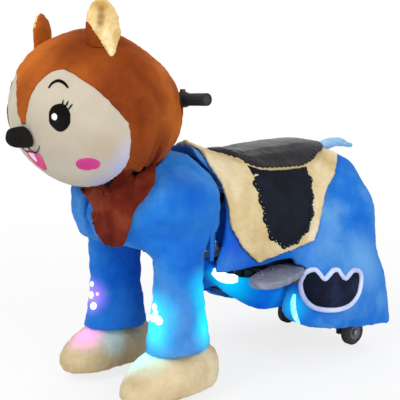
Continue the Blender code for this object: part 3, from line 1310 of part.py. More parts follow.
def make_nose_and_ears(looks, head, shell):
    height = (NOSE_Z - HEAD_Z) / HEAD_HALF_HEIGHT
    _, surface_y, surface_z = head_point(0, height)
    length = NOSE_OUT + surface_y
    outline = [(0, 0)]
    for step in range(8):
        share = step / 7
        round_share = math.sqrt(1 - share ** 2.6)
        radius = mix(NOSE_TIP_RADIUS, NOSE_BASE_RADIUS, round_share)
        outline.append((radius, (NOSE_BURIED + length) * share ** NOSE_TAPER))
    outline[-1] = (NOSE_TIP_RADIUS / 2, NOSE_BURIED + length)
    outline.append((0, NOSE_BURIED + length))
    nose = turned("nose", outline, (0, surface_y + NOSE_BURIED, surface_z), (0, -1, 0), looks["black_plush"], head)
    cut(nose, shell)
    for word, side in SIDES:
        middle = Vector((EAR_X * side, -EAR_AHEAD, EAR_BASE_Z - HEAD_Z))
        facing = Vector((math.sin(EAR_TURN) * side, -math.cos(EAR_TURN), 0))
        across = Vector((math.cos(EAR_TURN) * side, math.sin(EAR_TURN), 0))
        lean = Vector((EAR_LEAN_SHARE * side, 0, 1))
        rings = []
        for up, size in EAR_SHARES:
            ring = []
            for step in range(EAR_SIDES):
                turn = math.tau * step / EAR_SIDES
                dip = EAR_HOLLOW_SHARE * math.sin(math.pi * min(up * EAR_HOLLOW_RISE, 1))
                hollow = dip * max(math.cos(turn), 0) * EAR_HALF_THICKNESS
                ring.append(middle + lean * EAR_HEIGHT * up
                            + across * EAR_HALF_WIDTH * size * math.sin(turn)
                            + facing * (EAR_HALF_THICKNESS * size * math.cos(turn) - hollow))
            rings.append(ring)
        rings.insert(0, [point - lean * EAR_BURIED for point in rings[0]])
        cut(loft(f"ear_{word}", rings, looks["cream_plush"], head), shell)


def make_cape(looks, front, shell):
    grids = [[], []]
    top = CAPE_TOP_Z - CAPE_EDGE
    for layer, outward in enumerate((5 * SEAM + CAPE_THICKNESS, 5 * SEAM)):
        for step in range(CAPE_STEPS + 1):
            degrees = mix(-CAPE_FAR_TURN, CAPE_NEAR_TURN, step / CAPE_STEPS)
            turn = math.radians(degrees)
            hem = mix(CAPE_TIP_Z, CAPE_TOP_Z, along(CAPE_HEM_SHARES, degrees)) - 2 * CAPE_EDGE
            row = []
            slim = min(max((abs(degrees) - CAPE_SLIM_START) / CAPE_SLIM_SPAN, 0), 1)
            for level in range(CAPE_ROWS + 1):
                drop = level / CAPE_ROWS
                fold = CAPE_FOLD * max(math.sin(turn * CAPE_FOLDS), 0) * drop
                lift = mix(outward + fold, outward * CAPE_SLIM_SHARE, slim)
                row.append(chest_point(turn, mix(top, hem, drop), lift))
            grids[layer].append(row)
    cut(sheet("cape", grids[0], grids[1], looks["brown_plush"], front), shell)


def make_looks():
    return {
        "blue_plush": finish("blue_plush", (0.05, 0.22, 0.7), 0.9),
        "pale_blue_plush": finish("pale_blue_plush", (0.3, 0.5, 0.75), 0.9),
        "cream_plush": finish("cream_plush", (0.72, 0.6, 0.38), 0.92),
        "brown_plush": finish("brown_plush", (0.3, 0.07, 0.015), 0.9),
        "white_plush": finish("white_plush", (0.75, 0.7, 0.65), 0.85),
        "black_plush": finish("black_plush", (0.005, 0.005, 0.005), 0.8),
        "dark_patch": finish("dark_patch", (0.01, 0.012, 0.03), 0.85),
        "seat_leather": finish("seat_leather", (0.06, 0.055, 0.065), 0.55),
        "flap_leather": finish("flap_leather", (0.012, 0.015, 0.022), 0.45),
        "foam": finish("foam", (0.8, 0.75, 0.6), 0.9),
        "plywood": finish("plywood", (0.5, 0.33, 0.18), 0.7),
        "painted_steel": finish("painted_steel", (0.03, 0.03, 0.032), 0.45, 0.6),
        "steel": finish("steel", (0.5, 0.5, 0.5), 0.35, 1.0),
        "black_metal": finish("black_metal", (0.02, 0.02, 0.02), 0.4, 0.7),
        "black_plastic": finish("black_plastic", (0.015, 0.015, 0.015), 0.5),
        "grey_plastic": finish("grey_plastic", (0.2, 0.22, 0.28), 0.5),
        "red_plastic": finish("red_plastic", (0.6, 0.02, 0.02), 0.4),
        "battery": finish("battery", (0.04, 0.04, 0.045), 0.6),
        "rubber": finish("rubber", (0.012, 0.012, 0.012), 0.8),
        "tyre": finish("tyre", (0.02, 0.02, 0.02), 0.75),
    }


def make_empty(name, place, turn, parent=None):
    empty = bpy.data.objects.new(name, None)
    bpy.context.collection.objects.link(empty)
    empty.location = place
    empty.rotation_euler = (0, 0, turn)
    if parent:
        empty.parent = parent
    return empty


def main():
    clear_scene()
    looks = make_looks()
    front = make_empty("steered_front", (0, FRONT_AXLE_Y, 0), STEER_TURN)
    head = make_empty("turned_head", (0, -HEAD_AHEAD, HEAD_Z), HEAD_TURN, front)
    shell = ball("head_guide", 3 * GAP, GUIDE_ROWS, GUIDE_SIDES, looks["steel"], head)
    body_tools = [body_shell(f"body_guide_{word}", side, GAP, looks) for word, side in SIDES]
    make_chassis(looks)
    make_drive(looks)
    make_body(looks)
    make_saddle(looks, body_tools)
    guides = {}
    wide_top = BLANKET_THICKNESS + FLAP_THICKNESS + 3 * GAP
    wide_blanket = blanket_guide("wide_blanket_guide", wide_top, SEAM, looks)
    for (word, side), body_tool in zip(SIDES, body_tools):
        guides[word] = (footrest(f"footrest_guide_{word}", side, 2 * SEAM, looks), wide_blanket, body_tool)
    make_haunches(looks, guides)
    make_belly(looks)
    make_tail(looks, body_tools)
    make_fork(looks, front)
    make_handlebar(looks, front)
    make_chest(looks, front, shell)
    make_legs(looks, front)
    make_head(looks, front, head, shell)
    make_cape(looks, front, shell)


main()
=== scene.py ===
"""Plush ride on animal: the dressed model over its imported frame, in metres, front towards -Y."""
import json
import math

import bpy
import bmesh
import numpy as np
from mathutils import Matrix, Vector, noise
from mathutils.bvhtree import BVHTree


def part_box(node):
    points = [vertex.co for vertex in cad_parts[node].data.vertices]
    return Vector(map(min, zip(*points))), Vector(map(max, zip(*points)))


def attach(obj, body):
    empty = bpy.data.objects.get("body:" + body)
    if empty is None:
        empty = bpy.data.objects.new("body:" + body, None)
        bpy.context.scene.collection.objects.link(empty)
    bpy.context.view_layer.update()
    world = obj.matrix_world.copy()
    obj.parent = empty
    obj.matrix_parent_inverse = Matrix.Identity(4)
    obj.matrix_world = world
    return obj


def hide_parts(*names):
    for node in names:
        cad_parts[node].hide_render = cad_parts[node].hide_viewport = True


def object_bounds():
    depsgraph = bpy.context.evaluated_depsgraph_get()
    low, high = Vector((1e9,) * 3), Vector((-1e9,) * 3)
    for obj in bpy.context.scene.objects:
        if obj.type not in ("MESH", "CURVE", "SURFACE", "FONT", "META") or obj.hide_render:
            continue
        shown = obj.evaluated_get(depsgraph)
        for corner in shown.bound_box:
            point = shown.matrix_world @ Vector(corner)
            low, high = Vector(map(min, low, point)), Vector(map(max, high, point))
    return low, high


MM = 0.001
SIDES = (("left", 1), ("right", -1))

# The head's own axes: where the middle of its ball is, and how far it is turned
HEAD_MIDDLE = Vector((0.00781, -0.34527, 0.710))
HEAD_TURN = math.radians(10)
HEAD_HALF = Vector((198 * MM, 203 * MM, 187 * MM))
HEAD_HALF_REAR = 258 * MM
HEAD_NARROWING = 0.35
CROWN_ROUNDING = 1.1
NAPE_ROUNDING = 0.35
EAR_TURN = math.radians(66)

# The photograph's camera
CAMERA_PLACE = Vector((1.537, -1.2025, 0.735))
CAMERA_AROUND = math.radians(52.5)
CAMERA_DOWN = math.radians(7.9)
CAMERA_LENS = 65.16
SENSOR = 36.0
PICTURE = 400
PIXEL = SENSOR / CAMERA_LENS / PICTURE  # its width one metre away

FLOOR_HALF = 16.0
UP = Vector((0, 0, 1))
WHITE = (1, 1, 1, 1)

# How the soft pieces are made
CLOTH_FRAMES = 20
CURVE_PARTS = 16
PATCH_EDGE = 0.25
STRAND_SINK = 0.3

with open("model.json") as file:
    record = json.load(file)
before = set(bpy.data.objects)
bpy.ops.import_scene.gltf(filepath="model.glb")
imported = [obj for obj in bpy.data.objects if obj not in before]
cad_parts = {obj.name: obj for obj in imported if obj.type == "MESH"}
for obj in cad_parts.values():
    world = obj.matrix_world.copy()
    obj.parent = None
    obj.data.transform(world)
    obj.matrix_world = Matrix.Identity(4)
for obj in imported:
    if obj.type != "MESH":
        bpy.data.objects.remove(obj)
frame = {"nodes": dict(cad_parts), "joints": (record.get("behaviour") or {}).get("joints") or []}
CAD_BOX = [list(corner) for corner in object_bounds()]
SCENE = bpy.context.scene


# ---------------------------------------------------------------- camera and light

def camera_axes():
    """The camera's right, up and forward."""
    right = Vector((math.cos(CAMERA_AROUND), math.sin(CAMERA_AROUND), 0))
    flat = Vector((-math.sin(CAMERA_AROUND), math.cos(CAMERA_AROUND), 0))
    forward = flat * math.cos(CAMERA_DOWN) - Vector((0, 0, math.sin(CAMERA_DOWN)))
    return right, right.cross(forward), forward


def photo_ray(across, down):
    """The direction from the camera through a point of the picture, in its pixels."""
    right, up, forward = camera_axes()
    half = PICTURE / 2
    return (forward + right * (across - half) * PIXEL - up * (down - half) * PIXEL).normalized()


def picture_place(point):
    """Where a point of the frame lies in the picture, in its pixels."""
    right, up, forward = camera_axes()
    away = point - CAMERA_PLACE
    pixel = PIXEL * away.dot(forward)
    return PICTURE / 2 + away.dot(right) / pixel, PICTURE / 2 - away.dot(up) / pixel


def make_camera():
    data = bpy.data.cameras.new("camera")
    data.lens = CAMERA_LENS
    data.sensor_width = SENSOR
    data.sensor_fit = "HORIZONTAL"
    data.clip_end = 50
    camera = bpy.data.objects.new("camera", data)
    SCENE.collection.objects.link(camera)
    camera.location = CAMERA_PLACE
    camera.rotation_euler = camera_axes()[2].to_track_quat("-Z", "Y").to_euler()
    SCENE.camera = camera


def area_light(name, place, aim, size, power):
    data = bpy.data.lights.new(name, "AREA")
    data.shape = "DISK"
    data.size = size
    data.energy = power
    light = bpy.data.objects.new(name, data)
    SCENE.collection.objects.link(light)
    light.location = place
    light.rotation_euler = (Vector(aim) - Vector(place)).to_track_quat("-Z", "Y").to_euler()


def make_lights():
    area_light("key_light", (0.6, -3.0, 2.9), (0, 0, 0.45), 2.2, 62)
    area_light("side_light", (3.2, -0.2, 1.9), (0, 0, 0.45), 2.2, 42)
    area_light("back_light", (-2.2, 2.4, 2.6), (0, 0.1, 0.4), 2.0, 36)


def add_node(tree, kind, operation=None, **sockets):
    """A node with its operation and the values of its sockets."""
    made = tree.nodes.new(kind)
    if operation:
        made.operation = operation
    for socket, value in sockets.items():
        made.inputs[socket.replace("_", " ")].default_value = value
    return made


def link_all(tree, *pairs):
    for output, socket in pairs:
        tree.links.new(output, socket)


def make_world():
    """Soft light from all round, and white where it is looked at."""
    world = bpy.data.worlds.new("studio")
    SCENE.world = world
    world.use_nodes = True
    tree = world.node_tree
    tree.nodes.clear()
    out = add_node(tree, "ShaderNodeOutputWorld")
    rays = add_node(tree, "ShaderNodeLightPath").outputs
    mirrored = add_node(tree, "ShaderNodeMath", "MAXIMUM")
    looked_at = add_node(tree, "ShaderNodeMath", "MAXIMUM")
    soft = add_node(tree, "ShaderNodeBackground", Color=(0.93, 0.96, 1.0, 1), Strength=0.62)
    white = add_node(tree, "ShaderNodeBackground", Color=WHITE, Strength=1)
    mixed = add_node(tree, "ShaderNodeMixShader")
    link_all(tree, (rays["Is Camera Ray"], mirrored.inputs[0]), (rays["Is Glossy Ray"], mirrored.inputs[1]),
             (mirrored.outputs[0], looked_at.inputs[0]), (rays["Is Transmission Ray"], looked_at.inputs[1]),
             (looked_at.outputs[0], mixed.inputs[0]), (soft.outputs[0], mixed.inputs[1]),
             (white.outputs[0], mixed.inputs[2]), (mixed.outputs[0], out.inputs[0]))


def make_floor():
    """A floor that takes the shadows and fades to white further away."""
    mesh = bpy.data.meshes.new("floor")
    half = FLOOR_HALF
    mesh.from_pydata([(-half, -half, 0), (half, -half, 0), (half, half, 0), (-half, half, 0)], [],
                     [(0, 1, 2, 3)])
    floor = bpy.data.objects.new("floor", mesh)
    SCENE.collection.objects.link(floor)
    floor.location.z = CAD_BOX[0][2]
    look = bpy.data.materials.new("floor")
    look.use_nodes = True
    tree = look.node_tree
    tree.nodes.clear()
    out = add_node(tree, "ShaderNodeOutputMaterial")
    rays = add_node(tree, "ShaderNodeLightPath").outputs
    share = add_node(tree, "ShaderNodeMath", "MULTIPLY")
    where = add_node(tree, "ShaderNodeTexCoord").outputs
    away = add_node(tree, "ShaderNodeVectorMath", "LENGTH")
    fade = add_node(tree, "ShaderNodeMapRange", From_Min=0.9, From_Max=3.0, To_Min=0.8, To_Max=1.0)
    matt = add_node(tree, "ShaderNodeBsdfDiffuse", Color=(0.86, 0.86, 0.86, 1))
    glow = add_node(tree, "ShaderNodeEmission")
    mixed = add_node(tree, "ShaderNodeMixShader")
    link_all(tree, (where["Object"], away.inputs[0]), (away.outputs["Value"], fade.inputs["Value"]),
             (fade.outputs["Result"], share.inputs[1]), (rays["Is Camera Ray"], share.inputs[0]),
             (share.outputs[0], mixed.inputs[0]), (matt.outputs[0], mixed.inputs[1]),
             (glow.outputs[0], mixed.inputs[2]), (mixed.outputs[0], out.inputs[0]))
    mesh.materials.append(look)


# ---------------------------------------------------------------- materials

def linear(red, green, blue):
    """A screen colour of 0 to 255 as the linear colour that nodes take."""
    def one(value):
        value /= 255
        return value / 12.92 if value <= 0.04045 else ((value + 0.055) / 1.055) ** 2.4
    return (one(red), one(green), one(blue), 1.0)


class Look:
    """A material under construction: its node tree, its shader and its object coordinates."""

    def __init__(self, name, roughness, metallic=0.0, **sockets):
        self.material = bpy.data.materials.new(name)
        self.material.use_nodes = True
        self.tree = self.material.node_tree
        self.shader = self.tree.nodes["Principled BSDF"]
        self.shader.inputs["Roughness"].default_value = roughness
        self.shader.inputs["Metallic"].default_value = metallic
        for socket, value in sockets.items():
            self.shader.inputs[socket.replace("_", " ")].default_value = value
        self.coordinates = self.tree.nodes.new("ShaderNodeTexCoord").outputs["Object"]

    def node(self, kind, **settings):
        made = self.tree.nodes.new(kind)
        for setting, value in settings.items():
            setattr(made, setting, value)
        return made

    def feed(self, socket, value):
        """A value or another node's output goes into a socket."""
        if isinstance(value, bpy.types.NodeSocket):
            self.tree.links.new(value, socket)
        else:
            socket.default_value = value

    def noise(self, scale, detail=3.0, distortion=0.0):
        made = self.node("ShaderNodeTexNoise")
        self.feed(made.inputs["Vector"], self.coordinates)
        made.inputs["Scale"].default_value = scale
        made.inputs["Detail"].default_value = detail
        made.inputs["Distortion"].default_value = distortion
        return made.outputs["Fac"]

    def math(self, operation, first, second):
        made = self.node("ShaderNodeMath", operation=operation)
        self.feed(made.inputs[0], first)
        self.feed(made.inputs[1], second)
        return made.outputs[0]

    def ramp(self, value, stops):
        made = self.node("ShaderNodeValToRGB")
        self.feed(made.inputs["Fac"], value)
        elements = made.color_ramp.elements
        while len(elements) < len(stops):
            elements.new(0.5)
        for element, (place, color) in zip(elements, stops):
            element.position = place
            element.color = color
        return made.outputs["Color"]

    def mix(self, share, first, second, kind="MIX"):
        made = self.node("ShaderNodeMix", data_type="RGBA", blend_type=kind)
        self.feed(made.inputs[0], share)
        self.feed(made.inputs[6], first)
        self.feed(made.inputs[7], second)
        return made.outputs[2]

    def near(self, place, radius):
        """1 at a point of the object, falling to 0 at the radius."""
        away = self.node("ShaderNodeVectorMath", operation="DISTANCE")
        self.feed(away.inputs[0], self.coordinates)
        away.inputs[1].default_value = place
        made = self.node("ShaderNodeMapRange", interpolation_type="SMOOTHSTEP")
        self.feed(made.inputs["Value"], away.outputs["Value"])
        made.inputs["From Min"].default_value = radius
        made.inputs["From Max"].default_value = 0.0
        return made.outputs["Result"]

    def color(self, value):
        self.feed(self.shader.inputs["Base Color"], value)
        return self

    def bump(self, height, distance, strength=1.0):
        made = self.node("ShaderNodeBump")
        made.inputs["Distance"].default_value = distance
        made.inputs["Strength"].default_value = strength
        self.feed(made.inputs["Height"], height)
        self.feed(self.shader.inputs["Normal"], made.outputs["Normal"])
        return self

    def glow(self, spots):
        """Light that shows on the cloth round its lamps: (place, radius, colour)."""
        total = None
        for place, radius, color in spots:
            one = self.mix(self.near(place, radius), (0, 0, 0, 1), color)
            total = one if total is None else self.mix(1.0, total, one, "ADD")
        if total is not None:
            self.feed(self.shader.inputs["Emission Color"], total)
            self.shader.inputs["Emission Strength"].default_value = 1.0
        return self


def plush(name, dark, middle, light, spots=(), patch_scale=9.0, fine=520.0, contrast=1.0, places=()):
    """Short pile in three screen colours: broad brushed areas, finer strokes in them, and single tufts.

    Spots are lamps that shine on it, places are spots of another colour, which the callers use mostly for painted shade
    and painted highlights."""
    look = Look(name, 0.95, Sheen_Weight=0.3, Sheen_Roughness=0.5, Sheen_Tint=linear(*light),
                Specular_IOR_Level=0.12)
    broad = look.noise(patch_scale, 2, 0.35)
    strokes = look.noise(5.0 * patch_scale, 3, 0.9)
    tufts = look.noise(fine, 2)
    shade = look.math("ADD", look.math("MULTIPLY", broad, 0.72), look.math("MULTIPLY", strokes, 0.16))
    shade = look.math("ADD", shade, look.math("MULTIPLY", tufts, 0.12))
    width = 0.16 / contrast
    base = look.ramp(shade, [(0.5 - width, linear(*dark)), (0.5, linear(*middle)), (0.5 + width, linear(*light))])
    # Spots of another colour: mostly painted shade and painted highlights, a few plain darker tones
    for place, radius, color in places:
        share = look.math("MULTIPLY", look.near(place, radius), 0.75)
        base = look.mix(share, base, linear(*color))
    look.color(base)
    look.glow(spots)
    height = look.math("ADD", look.math("MULTIPLY", tufts, 0.6), look.math("MULTIPLY", strokes, 1.0))
    look.bump(height, 2.0 * MM, 0.7)
    return look.material


def leather(name, base, light, gloss, shine):
    """Soft vinyl: fine pebbled grain, rubbed lighter in random patches."""
    look = Look(name, gloss, Specular_IOR_Level=shine)
    cells = look.node("ShaderNodeTexVoronoi", feature="DISTANCE_TO_EDGE")
    look.feed(cells.inputs["Vector"], look.coordinates)
    cells.inputs["Scale"].default_value = 420
    worn = look.noise(14, 4, 0.6)
    look.color(look.ramp(worn, [(0.38, linear(*base)), (0.68, linear(*light))]))
    grain = look.math("MINIMUM", cells.outputs["Distance"], 0.25)
    creases = look.noise(60, 3, 1.2)
    look.bump(look.math("ADD", grain, look.math("MULTIPLY", creases, 0.5)), 1.2 * MM, 0.55)
    return look.material


def moulded(name, base, light, roughness, metallic=0.0, scale=900.0, depth=0.3):
    """Moulded plastic, rubber or painted metal, with a fine texture and faint handling marks."""
    look = Look(name, roughness, metallic)
    marks = look.noise(22, 4, 0.8)
    look.color(look.ramp(marks, [(0.35, linear(*base)), (0.72, linear(*light))]))
    rough = look.node("ShaderNodeMapRange")
    look.feed(rough.inputs["Value"], marks)
    rough.inputs["To Min"].default_value = roughness * 0.85
    rough.inputs["To Max"].default_value = min(roughness * 1.2, 1.0)
    look.feed(look.shader.inputs["Roughness"], rough.outputs["Result"])
    look.bump(look.noise(scale, 2), depth * MM, 0.35)
    return look.material


def lamp(name, color, strength):
    """A lit lens of this screen colour."""
    color = linear(*color)
    look = Look(name, 0.4, Emission_Color=color, Emission_Strength=strength)
    look.color(look.ramp(look.noise(160, 2), [(0.3, color), (0.7, WHITE)]))
    return look.material


# ---------------------------------------------------------------- shapes

def new_object(name, mesh, *looks):
    made = bpy.data.objects.new(name, mesh)
    SCENE.collection.objects.link(made)
    for look in looks:
        mesh.materials.append(look)
    for polygon in mesh.polygons:
        polygon.use_smooth = True
    return made


def solid(name, points, faces, *looks):
    """A mesh of these faces, with outward normals."""
    mesh = bpy.data.meshes.new(name)
    mesh.from_pydata([tuple(point) for point in points], [], faces)
    work = bmesh.new()
    work.from_mesh(mesh)
    bmesh.ops.recalc_face_normals(work, faces=work.faces)
    work.to_mesh(mesh)
    work.free()
    return new_object(name, mesh, *looks)


def mesh_of(name, pieces):
    """One mesh of the meshes of these pieces."""
    work = bmesh.new()
    for piece in pieces:
        work.from_mesh(piece.data)
    mesh = bpy.data.meshes.new(name)
    work.to_mesh(mesh)
    work.free()
    return mesh


def joined(name, *nodes):
    """One piece from copies of these nodes' solids."""
    return new_object(name, mesh_of(name, [frame["nodes"][node] for node in nodes]))


def applied(item):
    """The modifiers of a piece become its mesh."""
    bpy.context.view_layer.update()
    graph = bpy.context.evaluated_depsgraph_get()
    mesh = bpy.data.meshes.new_from_object(item.evaluated_get(graph))
    item.modifiers.clear()
    old = item.data
    item.data = mesh
    bpy.data.meshes.remove(old)
    for polygon in item.data.polygons:
        polygon.use_smooth = True
    return item


def remeshed(item, voxel, rounds):
    """The piece as one even skin, with its hard edges eased as cloth over padding eases them."""
    skin = item.modifiers.new("skin", "REMESH")
    skin.mode = "VOXEL"
    skin.voxel_size = voxel
    skin.use_smooth_shade = True
    ease = item.modifiers.new("ease", "SMOOTH")
    ease.iterations = rounds
    ease.factor = 0.5
    return applied(item)


def points_of(item, what="co"):
    """The places of a piece's vertices, or their normals."""
    vertices = item.data.vertices
    points = np.zeros(len(vertices) * 3)
    vertices.foreach_get(what, points)
    return points.reshape(-1, 3)


def normals_of(item):
    return points_of(item, "normal")


def set_points(item, points):
    item.data.vertices.foreach_set("co", points.reshape(-1))
    item.data.update()


def clamped(share, low=0, high=1):
    return min(max(share, low), high)


def raised(item, layers, keep=None):
    """Lumps, folds and tufts: each layer is (depth, size, stretch or none), and keep(point) scales them."""
    points = points_of(item)
    normals = normals_of(item)
    heights = np.zeros(len(points))
    for index, (depth, size, *rest) in enumerate(layers):
        stretch = rest[0] if rest else (1, 1, 1)
        shift = Vector((3.1 * index, 7.7, 1.3 * index))
        for number, point in enumerate(points):
            where = Vector((point[0] * stretch[0], point[1] * stretch[1], point[2] * stretch[2])) / size
            heights[number] += depth * noise.noise(where + shift)
    if keep is not None:
        heights *= np.array([keep(point) for point in points])
    set_points(item, points + normals * heights[:, None])
    return item


def tree_of(item, places=None):
    """The surface of a piece, for points that are to lie on it, or with its vertices at other places."""
    mesh = item.data
    return BVHTree.FromPolygons(places or [vertex.co for vertex in mesh.vertices],
                                [tuple(polygon.vertices) for polygon in mesh.polygons])


def puffed(item, pressure, cap):
    """Padding swells the piece: a short cloth simulation under inner pressure, its movement capped."""
    before = points_of(item)
    cloth = item.modifiers.new("cloth", "CLOTH")
    settings = cloth.settings
    settings.use_pressure = True
    settings.uniform_pressure_force = pressure
    settings.effector_weights.gravity = 0
    settings.quality = 4
    settings.mass = 0.3
    cloth.collision_settings.use_collision = False
    cloth.point_cache.frame_end = CLOTH_FRAMES
    for number in range(1, CLOTH_FRAMES + 1):
        SCENE.frame_set(number)
    applied(item)
    SCENE.frame_set(1)
    moves = points_of(item) - before
    lengths = np.linalg.norm(moves, axis=1)
    share = np.minimum(1, cap / np.maximum(lengths, 1e-9))
    set_points(item, before + moves * share[:, None])
    return item


def clear_of(trees, near, far):
    """A scale for lumps: 0 this near to other pieces, 1 beyond the far distance."""
    def keep(point):
        share = 1.0
        for tree in trees:
            found = tree.find_nearest(Vector(point), far)
            if found[0] is not None:
                share = min(share, max(found[3] - near, 0) / (far - near))
        return share
    return keep


def node_tree(name):
    return tree_of(frame["nodes"][name])


def turned_tree(name, degrees, pivot):
    """The surface of a node turned about the upright line through a point."""
    node = frame["nodes"][name]
    turn = Matrix.Rotation(math.radians(degrees), 3, "Z")
    return tree_of(node, [pivot + turn @ (vertex.co - pivot) for vertex in node.data.vertices])


def kept_off(item, tree, room):
    """The piece gives way where it comes nearer than this to a surface."""
    points = points_of(item)
    for point in points:
        place, normal, _, gap = tree.find_nearest(Vector(point), 14 * MM)
        if place is not None and (gap < room or (Vector(point) - place).dot(normal) < 0):
            point[:] = place + normal * room
    set_points(item, points)


def seen(across, down, *trees):
    """The nearest surface that the camera sees through a point of the picture, and its normal."""
    ray = photo_ray(across, down)
    best = None
    for tree in trees:
        point, normal, _, distance = tree.ray_cast(CAMERA_PLACE, ray)
        if point is not None and (best is None or distance < best[2]):
            best = (point, normal if normal.dot(ray) < 0 else -normal, distance)
    return None if best is None else best[:2]


def seen_on(across, down, *nodes):
    found = seen(across, down, *(node_tree(name) for name in nodes))
    return found[0] if found else Vector(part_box(nodes[0])[0])


def rim_of(item, middle, axes, count):
    """The outermost points of a piece about its middle, seen along the axis that axes leaves out."""
    points = points_of(item)
    flat = points[:, axes] - np.array([middle[axes[0]], middle[axes[1]]])
    turns = np.arctan2(flat[:, 1], flat[:, 0])
    reach = np.linalg.norm(flat, axis=1)
    loop = []
    for step in range(count):
        turn = -math.pi + math.tau * (step + 0.5) / count
        away = np.abs((turns - turn + math.pi) % math.tau - math.pi)
        chosen = np.where(away < math.pi / count, reach, 0)
        loop.append(points[int(chosen.argmax())])
    return loop


def merged(name, pieces, *looks):
    """Many pieces as one."""
    mesh = mesh_of(name, pieces)
    for piece in pieces:
        bpy.data.objects.remove(piece)
    return new_object(name, mesh, *looks)


def dressed(item, look, body, *nodes):
    """A finished piece gets its material, its body and the nodes that it stands for."""
    item.data.materials.clear()
    item.data.materials.append(look)
    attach(item, body)
    if nodes:
        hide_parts(*nodes)
    return item


def soft_copy(name, look, body, nodes, skin, lumps, keep=None):
    """These nodes' solids as one soft piece in their place: skin is (voxel, rounds of easing)."""
    item = remeshed(joined(name, *nodes), *skin)
    return dressed(raised(item, lumps, keep), look, body, *nodes)


def ring_faces(rings, count):
    """The faces between rings of this many points."""
    faces = []
    for a in range(0, (rings - 1) * count, count):
        b = a + count
        for step in range(count):
            after = (step + 1) % count
            faces.append((a + step, a + after, b + after, b + step))
    return faces


def end_faces(rings, count):
    return [tuple(range(count)), tuple(range((rings - 1) * count, rings * count))]


def rings_solid(name, tops, bottoms, *looks):
    """A closed patch: rings of points from its middle out to its edge, above and below."""
    rings = tops + bottoms[::-1]
    mesh = bpy.data.meshes.new(name)
    mesh.from_pydata([tuple(point) for ring in rings for point in ring], [], ring_faces(len(rings), len(tops[0])))
    work = bmesh.new()
    work.from_mesh(mesh)
    bmesh.ops.remove_doubles(work, verts=work.verts, dist=0.02 * MM)
    edges = [edge for edge in work.edges if edge.is_boundary]
    if edges:
        bmesh.ops.holes_fill(work, edges=edges, sides=0)
    bmesh.ops.dissolve_degenerate(work, dist=0.01 * MM, edges=work.edges)
    bmesh.ops.recalc_face_normals(work, faces=work.faces)
    work.to_mesh(mesh)
    work.free()
    return new_object(name, mesh, *looks)


def patch(name, outline, middle, on, thickness, sink, look, rings):
    """A padded patch that follows the surface that carries it: on(u, v) gives a point of it and its normal."""
    tops = []
    bottoms = []
    for ring in range(rings + 1):
        share = 0.03 + 0.97 * ring / rings
        height = thickness * (PATCH_EDGE + (1 - PATCH_EDGE) * max(1 - share ** 3, 0) ** 0.5)
        places = [on(middle[0] + (u - middle[0]) * share, middle[1] + (v - middle[1]) * share) for u, v in outline]
        tops.append([point + normal * height for point, normal in places])
        bottoms.append([point - normal * sink for point, normal in places])
    return rings_solid(name, tops, bottoms, look)


def strand(name, path, normals, half_width, height, look, sides=8, ends=0.35):
    """A bead or cord of cloth along a path on a surface, rounded above, let in a little below."""
    count = len(path)
    points = []
    closed = (path[0] - path[-1]).length < 1e-6
    for index in range(count):
        before = path[index - 1 if index or not closed else -2]
        after = path[(index + 1) if index + 1 < count else (1 if closed else index)]
        along = (after - (before if index or closed else path[0])).normalized()
        normal = normals[index]
        side = along.cross(normal).normalized()
        share = 1.0
        if not closed:
            travel = clamped(index / (count - 1), 0.02, 0.98)
            share = ends + (1 - ends) * min(1.0, math.sin(math.pi * travel) ** 0.5 * 1.02)
        for step in range(sides):
            turn = math.tau * step / sides
            lift = math.sin(turn)
            lift = lift if lift > 0 else lift * STRAND_SINK
            points.append(path[index] + side * math.cos(turn) * half_width * share + normal * lift * height * share)
    made = solid(name, points, ring_faces(count, sides) + ([] if closed else end_faces(count, sides)), look)
    if closed:
        work = bmesh.new()
        work.from_mesh(made.data)
        bmesh.ops.remove_doubles(work, verts=work.verts, dist=0.05 * MM)
        bmesh.ops.recalc_face_normals(work, faces=work.faces)
        work.to_mesh(made.data)
        work.free()
    return made


def lathe(name, outline, start, direction, sides, *looks):
    """A turned piece: outline of (radius, distance along the direction)."""
    direction = Vector(direction).normalized()
    side = direction.orthogonal().normalized()
    other = direction.cross(side)
    start = Vector(start)
    points = []
    for radius, away in outline:
        for step in range(sides):
            turn = math.tau * step / sides
            across = side * math.cos(turn) + other * math.sin(turn)
            points.append(start + direction * away + across * max(radius, 0.0001))
    rings = len(outline)
    return solid(name, points, ring_faces(rings, sides) + end_faces(rings, sides), *looks)


def bead(name, place, normal, radius, height, look, sides, rows=5):
    """A small dome on a surface: a stud, a lamp's lens or a screw head."""
    outline = [(radius * 0.9, -0.6 * height)]
    for row in range(rows + 1):
        turn = math.pi / 2 * row / rows
        outline.append((radius * math.cos(turn), height * math.sin(turn)))
    return lathe(name, outline, place, normal, sides, look)


def curve_points(stretches):
    """Points of a smooth curve, from the four points round each of its stretches."""
    fine = []
    for a, b, c, d in stretches:
        for part in range(CURVE_PARTS):
            t = part / CURVE_PARTS
            fine.append([
                0.5 * (2 * b[k] + (c[k] - a[k]) * t + (2 * a[k] - 5 * b[k] + 4 * c[k] - d[k]) * t * t
                       + (3 * b[k] - a[k] - 3 * c[k] + d[k]) * t ** 3)
                for k in range(len(b))
            ])
    return fine


def smooth_loop(points, count):
    """A closed smooth curve through these points, as count evenly spread points."""
    size = len(points)
    fine = curve_points([points[(index + step - 1) % size] for step in range(4)] for index in range(size))
    return spread(fine + [fine[0]], count, True)


def smooth_path(points, count):
    """An open smooth curve through these points, as count evenly spread points."""
    rows = [points[0], *points, points[-1]]
    fine = curve_points(rows[index:index + 4] for index in range(len(points) - 1))
    return spread(fine + [list(points[-1])], count, False)


def spread(points, count, closed):
    """Evenly spread points on a line of points."""
    points = np.array(points, float)
    steps = np.linalg.norm(np.diff(points, axis=0), axis=1)
    travel = np.concatenate([[0], np.cumsum(steps)])
    wanted = np.linspace(0, travel[-1], count + 1)[:count] if closed else np.linspace(0, travel[-1], count)
    return np.stack([np.interp(wanted, travel, points[:, k]) for k in range(points.shape[1])], 1)


